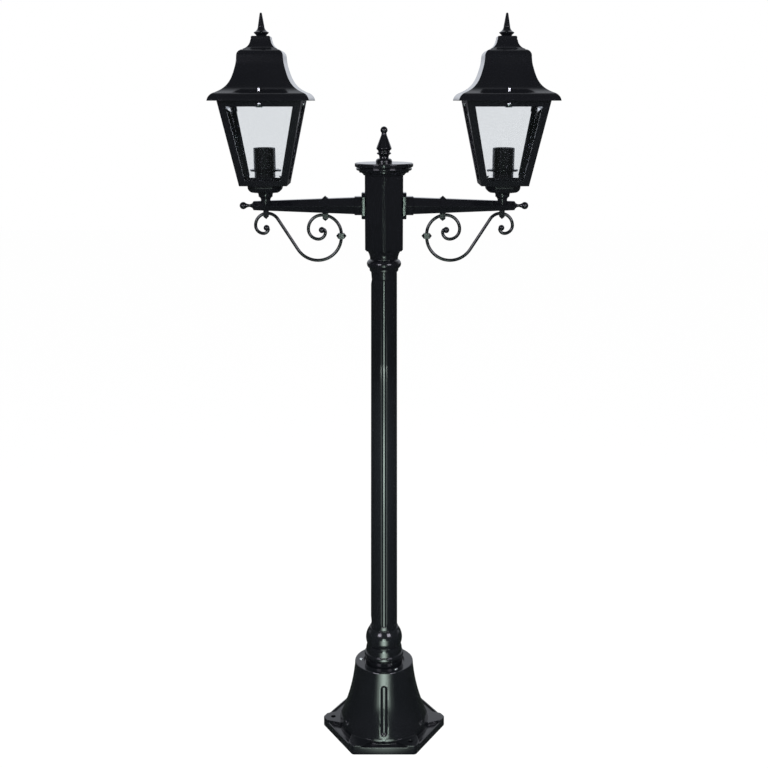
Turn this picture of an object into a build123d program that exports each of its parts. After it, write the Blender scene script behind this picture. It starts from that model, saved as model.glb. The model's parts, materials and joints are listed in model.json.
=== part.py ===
"""Twin head post light in cast aluminium. Millimetres, +Z up.

The origin is on the floor under the post's axis. The arms lie along X, and the front faces -Y.
The right-hand side is modelled, and each of its pieces is mirrored for the left-hand side.
"""
import os
from math import acos, asin, atan2, cos, degrees, hypot, radians, sin, sqrt, tan

from build123d import *

os.makedirs("parts", exist_ok=True)

# Fits between pieces
slip = 0.05  # round spigots, shanks and pins in their holes, on the radius
seat_gap = 0.1  # flat seats that are bent or tilted, such as panes in their frame
rod_play = 0.25  # round the bent rod in its knot

# Base casting, a hexagonal foot under a fluted bell
foot_width = 219.0  # across flats, one flat to the front
foot_corner_radius = 8.0
pad_height = 19.5
side_height = 15.6
side_inset = 15.7  # from a corner to the lowered stretch of a side
skirt_depth = 20.0
skirt_mitre = 23.3  # how much the lowered stretch narrows over skirt_depth
lip_width = 3.5
lip_depth = 3.2
bell_foot_radius = 92.5
bell_mid_radius = 70.9
bell_mid_height = 80.0
bell_top_radius = 60.4
bell_wall = 5.0
rim_radius = 59.3
rim_height = 151.0
rim_band = 15.0
rim_plate = 13.0
rim_edge = 1.2
fixing_circle_radius = 105.5
fixing_hole_radius = 4.5
fixing_count = 3
flute_count = 6
base_flute_width = 14.5
base_flute_depth = 3.4
base_flute_foot = 29.0
base_flute_top = 126.0

# Post foot, a turned baluster in the rim's recess
recess_radius = 41.5
recess_depth = 5.0
foot_spigot_radius = 34.0
foot_spigot_length = 14.0
foot_drum_radius = 37.5
foot_collar_radius = 39.75
foot_collar_rise = 16.0  # above the rim
foot_neck_radius = 33.8
foot_neck_rise = 22.0  # above the collar
foot_bulb_radius = 36.8
foot_bulb_rise = 14.5  # above the neck
foot_top_rise = 23.5  # above the bulb's middle
cable_bore_radius = 11.0

# Rim screws
rim_screw_circle = 47.0
rim_screw_head_radius = 3.6
rim_screw_head_height = 1.8
rim_screw_shank_radius = 2.0
rim_screw_length = 9.0
slot_width = 1.0
slot_depth = 0.8

# Post shaft, a tapered tube with narrow flutes
shaft_foot_radius = 26.8
shaft_top_radius = 24.35
shaft_height = 727.0
shaft_wall = 5.0
shaft_spigot_length = 18.0
shaft_flute_width = 9.0
shaft_flute_depth = 2.2
shaft_flute_margin = 6.5  # plain shaft above the foot and below the head
shaft_flute_top_margin = 13.0

# Post head and centre box
head_height = 39.0
head_step_radius = 27.0
head_torus_radius = 32.0
head_torus_rise = 14.0  # above the shaft
head_cove_radius = 26.0
box_width = 70.0  # across flats, a flat towards each arm
box_height = 138.0
box_edge_groove_radius = 3.0
box_chamfer = 3.0

# Centre cap and its finial
cap_seat_radius = 37.5
cap_cove_radius = 45.5
cap_bead_radius = 51.0
cap_rim_radius = 53.5
cap_rim_height = 7.0
cap_height = 22.0
cap_spigot_radius = 22.0
cap_spigot_length = 8.0
finial_base_radius = 15.0
finial_ring_radius = 13.0
finial_cone_radius = 14.0
finial_ball_radius = 6.6
finial_neck_radius = 4.4
finial_height = 66.0
finial_pin_radius = 4.0
finial_pin_length = 5.0

# Arms, hexagonal with a ridge to the front
arm_drop = 55.5  # the arms' axis below the box's top
flange_height = 48.0
flange_width = 39.0
flange_corner = 7.0
flange_thickness = 6.3
collar_height = 33.5
collar_length = 13.0
arm_root_height = 30.0
arm_lantern_height = 18.0
arm_overshoot = 23.5  # beyond the lantern's axis
arm_end_chamfer = 1.2
arm_bore_radius = 3.8
lantern_reach = 218.0  # post axis to lantern axis
arm_neck_radius = 2.65
arm_ball_radius = 6.7
arm_ball_setoff = 18.2  # beyond the arm's end
arm_ball_root_radius = 4.4
arm_ball_cone_radius = 6.0
arm_ball_pin_length = 8.0

# Scroll, one bent round rod
rod_radius = 3.0
curl_spacing = 101.2  # between the tops of the two curls
large_curl_drop = 17.3  # below the arms' axis
large_curl_radii = (26.0, 18.5, 13.0)
large_eye_hook_radius = 6.0
large_eye_hook_turn = 60.0
large_eye_radius = 5.8
shoulder_radius = 35.0
knot_stretch = 5.0
knot_drop = 1.0  # below the middle of the straight stretch
belly_radius = 44.0
small_curl_setback = 2.5  # from the lantern's axis
small_curl_drop = 14.2
small_curl_radii = (22.5, 14.5, 9.0)
small_eye_radius = 5.6
large_eye_shift = (0.6, 3.9)  # from the hook's centre
small_eye_shift = (-5.7, 1.3)  # from the last arc's centre

# Clamps and knot, square blocks with pointed ends
clamp_width = 10.4
clamp_point = 4.4
clamp_tip = 0.4
inner_clamp_setback = 6.0  # from the large curl's top
clamp_band = 1.2
clamp_below_rod = 3.0

# Lantern stem and bowl
stem_radius = 8.8
stem_depth_in_arm = 8.0
stem_waist_rise = 11.5  # above the arms' axis
stem_band_rise = 16.0
stem_band_radius = 13.0
bowl_rise = 24.2  # above the arms' axis
bowl_width = 62.0
bowl_corner = 15.0
bowl_curve = 10.5
bowl_rim_width = 60.0
bowl_rim_height = 29.3
bowl_floor_height = 19.3
bowl_wall = 2.5

# Lantern cage, a square frame that widens upwards
cage_rise = 14.0  # above the bowl's foot
cage_bottom_width = 86.0
cage_height = 149.3
cage_top_width = 147.0
cage_wall = 3.0
cage_bar_width = 13.0
cage_rail_depth = 10.0
cage_floor = 3.0
cage_flange_width = 11.0
cage_flange_thickness = 3.0

# Glass panes with a bevelled margin
pane_thickness = 3.0
pane_edge_thickness = 1.6
pane_lap = 3.0  # how far a pane reaches behind the frame
pane_bevel = 12.0

# Pane clips and their screws on the top rail
clip_width = 12.0
clip_leg = 5.0
clip_margin = 0.6  # above the screw's hole
clip_thickness = 1.2
rail_screw_head_radius = 3.2
rail_screw_head_height = 1.7
rail_screw_shank_radius = 1.25
rail_screw_drop = 3.0  # below the cage's top flange

# Lampholder for a 27 mm screw cap
holder_radius = 20.0
holder_height = 61.6
holder_skirt_radius = 19.0
holder_mouth_radius = 16.0
ring_radius = 27.0
ring_thickness = 3.5
ring_rise = 21.0  # above the bowl's floor
shell_radius = 14.6
shell_bore_radius = 13.5
shell_length = 32.0
shell_setback = 6.0  # below the lampholder's top
contact_radius = 4.0
contact_height = 4.0

# Roof, a square pagoda shell
roof_overhang = 15.0  # beyond the cage's top, on each side
roof_fascia_height = 14.0
roof_fascia_overhang = 3.5
roof_cove_inset = 21.0  # inside the cage's top, on each side
roof_cove_height = 34.0
roof_shoulder_inset = 32.5
roof_shoulder_height = 76.0
roof_tier_inset = 41.5
roof_tier_height = 87.5
roof_tier_step = 1.0
roof_collar_half = 17.2
roof_collar_base = 106.0
roof_top_half = 15.5
roof_height = 111.0
roof_wall = 3.0
roof_seat_inset = 13.5  # inside the cage's top, on each side
roof_seat_thickness = 3.0
roof_lid_height = 70.0

# Roof studs and dome nuts
stud_inset = 5.5  # from the cage's top edge
stud_radius = 2.0
stud_length = 24.0
stud_root = 3.0
nut_flats = 7.0
nut_height = 8.0
nut_hex_height = 3.2
nut_seat_height = 15.5  # above the roof's lower edge
nut_spot_radius = 5.5
nut_blind_depth = 6.2
stud_boss_radius = 7.5
stud_play = 0.3  # round the studs, so that the roof lifts off freely

# Roof finial
spire_height = 40.0
spire_base_radius = 9.0
spire_bead_radius = 13.5
spire_neck_radius = 5.8
spire_tip_radius = 2.2

# Values that follow from the driving dimensions
foot_apothem = foot_width / 2
foot_side = foot_width / sqrt(3)
box_apothem = box_width / 2
box_corner_radius = box_width / sqrt(3)
shaft_bore_radius = shaft_top_radius - shaft_wall
collar_start = box_apothem + flange_thickness
collar_end = collar_start + collar_length
recess_floor = rim_height - recess_depth
bell_top = rim_height - rim_band
foot_collar_height = rim_height + foot_collar_rise
foot_neck_height = foot_collar_height + foot_neck_rise
foot_bulb_height = foot_neck_height + foot_bulb_rise
foot_top = foot_bulb_height + foot_top_rise
shaft_top = foot_top + shaft_height
head_top = shaft_top + head_height
head_torus_height = shaft_top + head_torus_rise
box_top = head_top + box_height
cap_top = box_top + cap_height
arm_axis_height = box_top - arm_drop
arm_end = lantern_reach + arm_overshoot
arm_ball_reach = arm_end + arm_ball_setoff
small_curl_reach = lantern_reach - small_curl_setback
large_curl_reach = small_curl_reach - curl_spacing
inner_clamp_reach = large_curl_reach - inner_clamp_setback
large_curl_top = arm_axis_height - large_curl_drop
small_curl_top = arm_axis_height - small_curl_drop
stem_waist_height = arm_axis_height + stem_waist_rise
stem_band_height = arm_axis_height + stem_band_rise
bowl_bottom = arm_axis_height + bowl_rise
bowl_floor = bowl_bottom + bowl_floor_height
bowl_rim_top = bowl_bottom + bowl_rim_height
cage_bottom = bowl_bottom + cage_rise
cage_top = cage_bottom + cage_height
ring_height = bowl_floor + ring_rise
holder_top = bowl_floor + holder_height
stud_reach = cage_top_width / 2 - stud_inset
roof_edge = cage_top_width / 2 + roof_overhang
roof_fascia_half = cage_top_width / 2 + roof_fascia_overhang
roof_seat_half = cage_top_width / 2 - roof_seat_inset
roof_cove_half = cage_top_width / 2 - roof_cove_inset
roof_shoulder_half = cage_top_width / 2 - roof_shoulder_inset
roof_tier_half = cage_top_width / 2 - roof_tier_inset
cage_lean = atan2((cage_top_width - cage_bottom_width) / 2, cage_top - cage_bottom)


def arm_apothem(reach):
    """Half of the arm's height at a distance from the post's axis."""
    taper = (arm_root_height - arm_lantern_height) / 2 / (lantern_reach - collar_end)
    return arm_root_height / 2 - taper * (reach - collar_end)


def cage_half(height):
    """Half of the cage's outer width at a height."""
    return cage_bottom_width / 2 + (height - cage_bottom) * tan(cage_lean)


def rail_plane(side_plane):
    """The outer face of a top rail at its screw, seen square on: one side's upright plane, leant out."""
    height = cage_top - cage_flange_thickness - rail_screw_drop
    foot = side_plane.from_local_coords(Vector(0, height, cage_half(height)))
    outwards = side_plane.z_dir * cos(cage_lean) - Vector(0, 0, 1) * sin(cage_lean)
    return Plane(origin=foot, x_dir=side_plane.x_dir, z_dir=outwards)


def groove_radius(width, depth):
    """Radius of the round cutter that leaves a groove of this width and depth."""
    return (width**2 / 4 + depth**2) / (2 * depth)


def export_one(part, name):
    """Label a finished piece and write it."""
    part.label = name
    export_step(part, f"parts/{name}.step")


def export_pair(part, name):
    """Write a right-hand piece and its mirror image for the left-hand side."""
    export_one(part, f"right_{name}")
    export_one(mirror(part, about=Plane.YZ), f"left_{name}")


# Base casting
with BuildPart() as bell_flute:
    flute_r = groove_radius(base_flute_width, base_flute_depth)
    with BuildLine(Plane.XZ):
        bell_arc = ThreePointArc(
            (bell_foot_radius, pad_height),
            (bell_mid_radius, bell_mid_height),
            (bell_top_radius, bell_top),
        )
    bell_centre = bell_arc.arc_center
    flute_path_radius = bell_arc.radius - (flute_r - base_flute_depth)

    def bell_angle(height):
        """Angle of the flute's path at a height, seen from the bell arc's centre."""
        return 180 - degrees(asin((height - bell_centre.Z) / flute_path_radius))

    lower = bell_angle(base_flute_foot + base_flute_width / 2)
    upper = bell_angle(base_flute_top - base_flute_width / 2)
    with BuildLine(Plane.XZ) as flute_line:
        CenterArc((bell_centre.X, bell_centre.Z), flute_path_radius, lower, upper - lower)
    with BuildSketch(Plane(origin=flute_line.line @ 0, z_dir=flute_line.line % 0)):
        Circle(flute_r)
    sweep(path=flute_line.line)
    with Locations(flute_line.line @ 0, flute_line.line @ 1):
        Sphere(flute_r)

with BuildPart() as base_casting:
    with BuildSketch() as foot_outline:
        RegularPolygon(foot_apothem, 6, major_radius=False)
        fillet(foot_outline.vertices(), foot_corner_radius)
    extrude(amount=pad_height)
    outer_half = foot_side / 2 - side_inset
    inner_half = outer_half - skirt_mitre
    with BuildSketch(Plane.XY.offset(side_height)):
        with PolarLocations(0, 6, start_angle=30):
            Polygon(
                (foot_apothem, -outer_half),
                (foot_apothem, outer_half),
                (foot_apothem - skirt_depth, inner_half),
                (foot_apothem - skirt_depth, -inner_half),
                align=None,
            )
    extrude(amount=pad_height - side_height, mode=Mode.SUBTRACT)
    with BuildSketch(Plane.XY.offset(side_height - lip_depth)):
        with PolarLocations(0, 6, start_angle=30):
            Polygon(
                (foot_apothem - lip_width, -outer_half + lip_width),
                (foot_apothem - lip_width, outer_half - lip_width),
                (foot_apothem - skirt_depth, inner_half),
                (foot_apothem - skirt_depth, -inner_half),
                align=None,
            )
    extrude(amount=lip_depth, mode=Mode.SUBTRACT)
    with BuildSketch(Plane.XZ):
        with BuildLine():
            Polyline((0, 0), (bell_foot_radius, 0), (bell_foot_radius, pad_height))
            ThreePointArc(
                (bell_foot_radius, pad_height),
                (bell_mid_radius, bell_mid_height),
                (bell_top_radius, bell_top),
            )
            Polyline(
                (bell_top_radius, bell_top),
                (rim_radius + rim_edge / 2, bell_top + rim_edge),
                (rim_radius, rim_height - rim_edge),
                (rim_radius - rim_edge, rim_height),
                (0, rim_height),
                (0, 0),
            )
        make_face()
    revolve(axis=Axis.Z)
    with PolarLocations(0, flute_count, start_angle=30):
        add(bell_flute.part, mode=Mode.SUBTRACT)
    with BuildSketch(Plane.XZ):
        with BuildLine():
            Polyline(
                (0, rim_height - rim_plate),
                (0, 0),
                (bell_foot_radius - bell_wall - base_flute_depth, 0),
                (bell_foot_radius - bell_wall - base_flute_depth, pad_height),
            )
            ThreePointArc(
                (bell_foot_radius - bell_wall - base_flute_depth, pad_height),
                (bell_mid_radius - bell_wall - base_flute_depth, bell_mid_height),
                (bell_top_radius - bell_wall - base_flute_depth, rim_height - rim_plate),
            )
            Line(
                (bell_top_radius - bell_wall - base_flute_depth, rim_height - rim_plate),
                (0, rim_height - rim_plate),
            )
        make_face()
    revolve(axis=Axis.Z, mode=Mode.SUBTRACT)
    with Locations((0, 0, rim_height)):
        CounterBoreHole(foot_spigot_radius + slip, recess_radius, recess_depth)
    with Locations((0, 0, pad_height)):
        with PolarLocations(fixing_circle_radius, fixing_count, start_angle=180):
            Hole(fixing_hole_radius, depth=pad_height)
    with Locations((0, 0, rim_height)):
        with PolarLocations(rim_screw_circle, fixing_count, start_angle=180):
            Hole(rim_screw_shank_radius + slip, depth=rim_screw_length)
export_one(base_casting.part, "base_casting")

# Rim screws
with BuildPart() as base_rim_screws:
    with PolarLocations(rim_screw_circle, fixing_count, start_angle=180):
        with Locations((0, 0, rim_height)):
            Cylinder(
                rim_screw_head_radius,
                rim_screw_head_height,
                align=(Align.CENTER, Align.CENTER, Align.MIN),
            )
            Cylinder(
                rim_screw_shank_radius,
                rim_screw_length - slip,
                align=(Align.CENTER, Align.CENTER, Align.MAX),
            )
        with Locations((0, 0, rim_height + rim_screw_head_height)):
            Box(
                2 * rim_screw_head_radius,
                slot_width,
                slot_depth,
                align=(Align.CENTER, Align.CENTER, Align.MAX),
                mode=Mode.SUBTRACT,
            )
export_one(base_rim_screws.part, "base_rim_screws")

# Post foot
with BuildPart() as post_foot:
    with BuildSketch(Plane.XZ):
        with BuildLine():
            Polyline(
                (cable_bore_radius, foot_top),
                (cable_bore_radius, recess_floor - foot_spigot_length),
                (foot_spigot_radius, recess_floor - foot_spigot_length),
                (foot_spigot_radius, recess_floor),
                (foot_drum_radius, recess_floor),
                (foot_drum_radius, foot_collar_height - 7),
            )
            Line(
                (foot_drum_radius, foot_collar_height - 7),
                (foot_collar_radius - 1.5, foot_collar_height - 5),
            )
            ThreePointArc(
                (foot_collar_radius - 1.5, foot_collar_height - 5),
                (foot_collar_radius, foot_collar_height),
                (foot_collar_radius - 1.5, foot_collar_height + 5),
            )
            Line(
                (foot_collar_radius - 1.5, foot_collar_height + 5),
                (foot_collar_radius - 3.4, foot_collar_height + 6),
            )
            ThreePointArc(
                (foot_collar_radius - 3.4, foot_collar_height + 6),
                (foot_collar_radius - 3.4, foot_collar_height + 13),
                (foot_neck_radius, foot_neck_height),
            )
            ThreePointArc(
                (foot_neck_radius, foot_neck_height),
                (foot_bulb_radius, foot_bulb_height),
                (shaft_foot_radius + 3.5, foot_top - 4),
            )
            Polyline(
                (shaft_foot_radius + 3.5, foot_top - 4),
                (shaft_foot_radius + 2, foot_top),
                (cable_bore_radius, foot_top),
            )
        make_face()
    revolve(axis=Axis.Z)
    with BuildSketch(Plane.XY.offset(foot_top)):
        Circle(shaft_bore_radius - slip)
        Circle(cable_bore_radius, mode=Mode.SUBTRACT)
    extrude(amount=shaft_spigot_length)
export_one(post_foot.part, "post_foot")

# Post shaft
shaft_lean = atan2(shaft_foot_radius - shaft_top_radius, shaft_height)


def shaft_radius(height):
    """The shaft's outer radius at a height."""
    return shaft_foot_radius - (height - foot_top) * tan(shaft_lean)


with BuildPart() as shaft_flute:
    shaft_flute_r = groove_radius(shaft_flute_width, shaft_flute_depth)
    stand_off = shaft_flute_r - shaft_flute_depth
    flute_foot = foot_top + shaft_flute_margin + shaft_flute_width / 2
    flute_head = shaft_top - shaft_flute_top_margin - shaft_flute_width / 2
    flute_ends = (
        (shaft_radius(flute_foot) + stand_off, 0, flute_foot),
        (shaft_radius(flute_head) + stand_off, 0, flute_head),
    )
    with BuildLine() as shaft_flute_line:
        Line(*flute_ends)
    with BuildSketch(Plane(origin=flute_ends[0], z_dir=shaft_flute_line.line % 0)):
        Circle(shaft_flute_r)
    sweep(path=shaft_flute_line.line)
    with Locations(*flute_ends):
        Sphere(shaft_flute_r)

with BuildPart() as post_shaft:
    with BuildSketch(Plane.XZ):
        Polygon(
            (shaft_bore_radius, foot_top),
            (shaft_foot_radius, foot_top),
            (shaft_top_radius, shaft_top),
            (shaft_bore_radius, shaft_top),
            align=None,
        )
    revolve(axis=Axis.Z)
    with PolarLocations(0, flute_count, start_angle=30):
        add(shaft_flute.part, mode=Mode.SUBTRACT)
export_one(post_shaft.part, "post_shaft")

# Post head
with BuildPart() as post_head:
    with BuildSketch(Plane.XZ):
        with BuildLine():
            Polyline(
                (cable_bore_radius, head_top),
                (cable_bore_radius, shaft_top - shaft_spigot_length),
                (shaft_bore_radius - slip, shaft_top - shaft_spigot_length),
                (shaft_bore_radius - slip, shaft_top),
                (head_step_radius - 0.8, shaft_top),
                (head_step_radius, shaft_top + 2),
                (head_step_radius, shaft_top + 5),
                (head_step_radius + 1.2, shaft_top + 6.5),
            )
            ThreePointArc(
                (head_step_radius + 1.2, shaft_top + 6.5),
                (head_torus_radius, head_torus_height),
                (head_step_radius + 1.2, shaft_top + 21.5),
            )
            Line(
                (head_step_radius + 1.2, shaft_top + 21.5),
                (head_cove_radius, shaft_top + 22.5),
            )
            ThreePointArc(
                (head_cove_radius, shaft_top + 22.5),
                (head_cove_radius + 1.2, head_top - 9),
                (head_torus_radius - 0.5, head_top),
            )
            Line((head_torus_radius - 0.5, head_top), (cable_bore_radius, head_top))
        make_face()
    revolve(axis=Axis.Z)
export_one(post_head.part, "post_head")

# Centre box
with BuildPart() as centre_box:
    with BuildSketch(Plane.XY.offset(head_top)):
        RegularPolygon(box_apothem, 6, major_radius=False, rotation=30)
    extrude(amount=box_top - head_top)
    chamfer(centre_box.faces().sort_by(Axis.Z)[0].edges(), box_chamfer)
    with BuildSketch(Plane.XY.offset(head_top)):
        with PolarLocations(box_corner_radius, 6, start_angle=30):
            Circle(box_edge_groove_radius)
    extrude(amount=box_top - head_top, mode=Mode.SUBTRACT)
    with BuildSketch(Plane.XY.offset(head_top)):
        Circle(cable_bore_radius)
    extrude(amount=box_top - head_top, mode=Mode.SUBTRACT)
    with Locations((0, 0, box_top)):
        Hole(cap_spigot_radius + slip, depth=cap_spigot_length + slip)
    with BuildSketch(Plane.YZ.offset(-box_apothem)):
        with Locations((0, arm_axis_height)):
            Circle(arm_bore_radius)
    extrude(amount=box_width, mode=Mode.SUBTRACT)
export_one(centre_box.part, "centre_box")

# Centre cap
with BuildPart() as centre_cap:
    with BuildSketch(Plane.XZ):
        with BuildLine():
            Polyline(
                (0, cap_top - 1),
                (0, box_top - cap_spigot_length),
                (cap_spigot_radius, box_top - cap_spigot_length),
                (cap_spigot_radius, box_top),
                (cap_seat_radius, box_top),
            )
            RadiusArc((cap_seat_radius, box_top), (cap_cove_radius - 3, box_top + 5), 12)
            Polyline(
                (cap_cove_radius - 3, box_top + 5),
                (cap_cove_radius, box_top + 5),
                (cap_cove_radius, box_top + 7.5),
                (cap_bead_radius - 2.5, box_top + 8.5),
            )
            ThreePointArc(
                (cap_bead_radius - 2.5, box_top + 8.5),
                (cap_bead_radius, box_top + 11),
                (cap_bead_radius - 1.0, cap_top - cap_rim_height - 1.0),
            )
            Polyline(
                (cap_bead_radius - 1.0, cap_top - cap_rim_height - 1.0),
                (cap_rim_radius - 1.0, cap_top - cap_rim_height),
                (cap_rim_radius, cap_top - cap_rim_height + 1.0),
                (cap_rim_radius, cap_top - 2.0),
            )
            ThreePointArc(
                (cap_rim_radius, cap_top - 2.0),
                (cap_rim_radius - 0.6, cap_top - 0.6),
                (cap_rim_radius - 2.0, cap_top),
            )
            Polyline(
                (cap_rim_radius - 2.0, cap_top),
                (finial_base_radius, cap_top),
                (finial_base_radius, cap_top - 1),
                (0, cap_top - 1),
            )
        make_face()
    revolve(axis=Axis.Z)
    with Locations((0, 0, cap_top - 1)):
        Hole(finial_pin_radius + slip, depth=finial_pin_length + slip)
export_one(centre_cap.part, "centre_cap")

# Centre finial
finial_foot = cap_top - 1
with BuildPart() as centre_finial:
    with BuildSketch(Plane.XZ):
        with BuildLine():
            neck_angle = degrees(acos(finial_neck_radius / finial_ball_radius))
            finial_ball = CenterArc(
                (0, finial_foot + finial_height - finial_ball_radius),
                finial_ball_radius,
                -neck_angle,
                90 + neck_angle,
            )
            Polyline(
                (0, finial_foot + finial_height),
                (0, finial_foot - finial_pin_length),
                (finial_pin_radius, finial_foot - finial_pin_length),
                (finial_pin_radius, finial_foot),
                (finial_base_radius - slip, finial_foot),
                (finial_base_radius - slip, finial_foot + 3.5),
            )
            ThreePointArc(
                (finial_base_radius - slip, finial_foot + 3.5),
                (finial_base_radius - 1.6, finial_foot + 7.5),
                (finial_base_radius - 6.0, finial_foot + 9.0),
            )
            ThreePointArc(
                (finial_base_radius - 6.0, finial_foot + 9.0),
                (finial_base_radius - 6.3, finial_foot + 12.5),
                (finial_ring_radius - 3.0, finial_foot + 15.5),
            )
            Polyline(
                (finial_ring_radius - 3.0, finial_foot + 15.5),
                (finial_ring_radius, finial_foot + 17.0),
                (finial_ring_radius, finial_foot + 18.8),
                (finial_ring_radius - 2.3, finial_foot + 20.5),
                (finial_ring_radius - 2.3, finial_foot + 22.5),
                (finial_cone_radius - 1.0, finial_foot + 24.8),
                (finial_cone_radius, finial_foot + 26.5),
                (finial_cone_radius, finial_foot + 27.6),
                (finial_neck_radius + 0.8, finial_foot + 50.5),
                finial_ball @ 0,
            )
        make_face()
    revolve(axis=Axis.Z)
export_one(centre_finial.part, "centre_finial")

# Arm flange, a plate on the box with a hexagonal collar
arm_root = Plane(origin=(0, 0, arm_axis_height), x_dir=(0, 1, 0), z_dir=(1, 0, 0))
with BuildPart() as arm_flange:
    with BuildSketch(arm_root.offset(box_apothem)) as flange_outline:
        Rectangle(flange_width, flange_height)
        chamfer(flange_outline.vertices(), flange_corner)
    extrude(amount=flange_thickness)
    chamfer(arm_flange.faces().sort_by(Axis.X)[-1].edges(), 1.0)
    with BuildSketch(arm_root.offset(collar_start)):
        RegularPolygon(collar_height / 2, 6, major_radius=False)
    extrude(amount=collar_length)
    chamfer(arm_flange.faces().sort_by(Axis.X)[-1].edges(), 0.6)
    for reach in (collar_start, collar_end):
        with BuildSketch(arm_root.offset(reach)):
            RegularPolygon(arm_apothem(reach) + slip, 6, major_radius=False)
    loft(mode=Mode.SUBTRACT)
    with BuildSketch(arm_root.offset(box_apothem)):
        Circle(arm_bore_radius)
    extrude(amount=flange_thickness, mode=Mode.SUBTRACT)
export_pair(arm_flange.part, "arm_flange")

# Arm
stem_seat = arm_axis_height + arm_apothem(lantern_reach) - stem_depth_in_arm
with BuildPart() as arm:
    for reach in (collar_start, arm_end):
        with BuildSketch(arm_root.offset(reach)):
            RegularPolygon(arm_apothem(reach), 6, major_radius=False)
    loft()
    chamfer(arm.faces().sort_by(Axis.X)[-1].edges(), arm_end_chamfer)
    with BuildSketch(arm_root.offset(collar_start)):
        Circle(arm_bore_radius)
    extrude(amount=arm_end - collar_start, mode=Mode.SUBTRACT)
    with BuildSketch(Plane.XY.offset(stem_seat)):
        with Locations((lantern_reach, 0)):
            Circle(stem_radius + slip)
    extrude(amount=2 * stem_depth_in_arm, mode=Mode.SUBTRACT)
export_pair(arm.part, "arm")

# Ball at the arm's end, turned in one piece with its neck and its pin in the arm
with BuildPart() as arm_ball_end:
    with BuildSketch(Plane(origin=(0, 0, arm_axis_height), x_dir=(1, 0, 0), z_dir=(0, -1, 0))):
        with BuildLine():
            root_angle = degrees(asin(arm_ball_root_radius / arm_ball_radius))
            end_ball = CenterArc(
                (arm_ball_reach, 0), arm_ball_radius, 180 - root_angle, root_angle - 180
            )
            Polyline(
                end_ball @ 1,
                (arm_end - arm_ball_pin_length, 0),
                (arm_end - arm_ball_pin_length, arm_bore_radius - slip),
                (arm_end, arm_bore_radius - slip),
                (arm_end, arm_ball_cone_radius),
                (arm_end + 0.6, arm_ball_cone_radius),
            )
            ThreePointArc(
                (arm_end + 0.6, arm_ball_cone_radius),
                (arm_end + 3.2, arm_neck_radius + 1.0),
                (arm_end + 7.5, arm_neck_radius),
            )
            ThreePointArc(
                (arm_end + 7.5, arm_neck_radius),
                (arm_end + 10.5, arm_neck_radius + 0.7),
                end_ball @ 0,
            )
        make_face()
    revolve(axis=Axis((0, 0, arm_axis_height), (1, 0, 0)))
export_pair(arm_ball_end.part, "arm_ball_end")

# Scroll's route: large curl, shoulder, belly, straight run and small curl
shoulder_centre = (large_curl_reach, large_curl_top - shoulder_radius)
knot_reach = large_curl_reach - shoulder_radius
belly_centre = (knot_reach + belly_radius, shoulder_centre[1] - knot_stretch)
small_centre = (small_curl_reach, small_curl_top - small_curl_radii[0])
centres_x = small_centre[0] - belly_centre[0]
centres_z = small_centre[1] - belly_centre[1]
run_angle = degrees(
    atan2(centres_z, centres_x)
    + asin((belly_radius + small_curl_radii[0]) / hypot(centres_x, centres_z))
)


def curl(start_x, start_z, radii):
    """Quarter arcs that wind inwards, clockwise from a top point: centre and radius of each."""
    centre_x, centre_z = start_x, start_z - radii[0]
    quarters = [(centre_x, centre_z, radii[0])]
    for step, (before, radius) in enumerate(zip(radii, radii[1:])):
        shrink = before - radius
        if step % 2 == 0:
            centre_x += shrink
        else:
            centre_z -= shrink
        quarters.append((centre_x, centre_z, radius))
    return quarters


large_quarters = curl(large_curl_reach, large_curl_top, large_curl_radii)
small_quarters = curl(small_curl_reach, small_curl_top, small_curl_radii)
hook_centre = (
    large_quarters[-1][0] - large_curl_radii[-1] + large_eye_hook_radius,
    large_quarters[-1][1],
)
with BuildPart() as scroll:
    with BuildLine(Plane.XZ) as scroll_line:
        CenterArc(hook_centre, large_eye_hook_radius, 180 - large_eye_hook_turn, large_eye_hook_turn)
        for turn, (x, z, radius) in reversed(list(enumerate(large_quarters))):
            CenterArc((x, z), radius, -90 * turn, 90)
        CenterArc(shoulder_centre, shoulder_radius, 90, 90)
        Line(
            (knot_reach, shoulder_centre[1]),
            (knot_reach, belly_centre[1]),
        )
        belly = CenterArc(belly_centre, belly_radius, 180, 90 + run_angle)
        crest = CenterArc(small_centre, small_curl_radii[0], 90 + run_angle, -90 - run_angle)
        Line(belly @ 1, crest @ 0)
        for turn, (x, z, radius) in enumerate(small_quarters[1:], start=1):
            CenterArc((x, z), radius, 90 - 90 * turn, -90)
    with BuildSketch(Plane(origin=scroll_line.wires()[0] @ 0, z_dir=scroll_line.wires()[0] % 0)):
        Circle(rod_radius)
    sweep(path=scroll_line.wires()[0])
    with Locations((hook_centre[0] + large_eye_shift[0], 0, hook_centre[1] + large_eye_shift[1])):
        Sphere(large_eye_radius)
    small_eye = (small_quarters[-1][0] + small_eye_shift[0], 0, small_quarters[-1][1] + small_eye_shift[1])
    with Locations(small_eye):
        Sphere(small_eye_radius)
export_pair(scroll.part, "scroll")

def add_point(plane, width):
    """A blunt pyramid on a square face."""
    with BuildSketch(plane) as foot:
        Rectangle(width, width)
    with BuildSketch(plane.offset(clamp_point)) as tip:
        Rectangle(clamp_tip, clamp_tip)
    loft([foot.sketch.face(), tip.sketch.face()])


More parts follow.
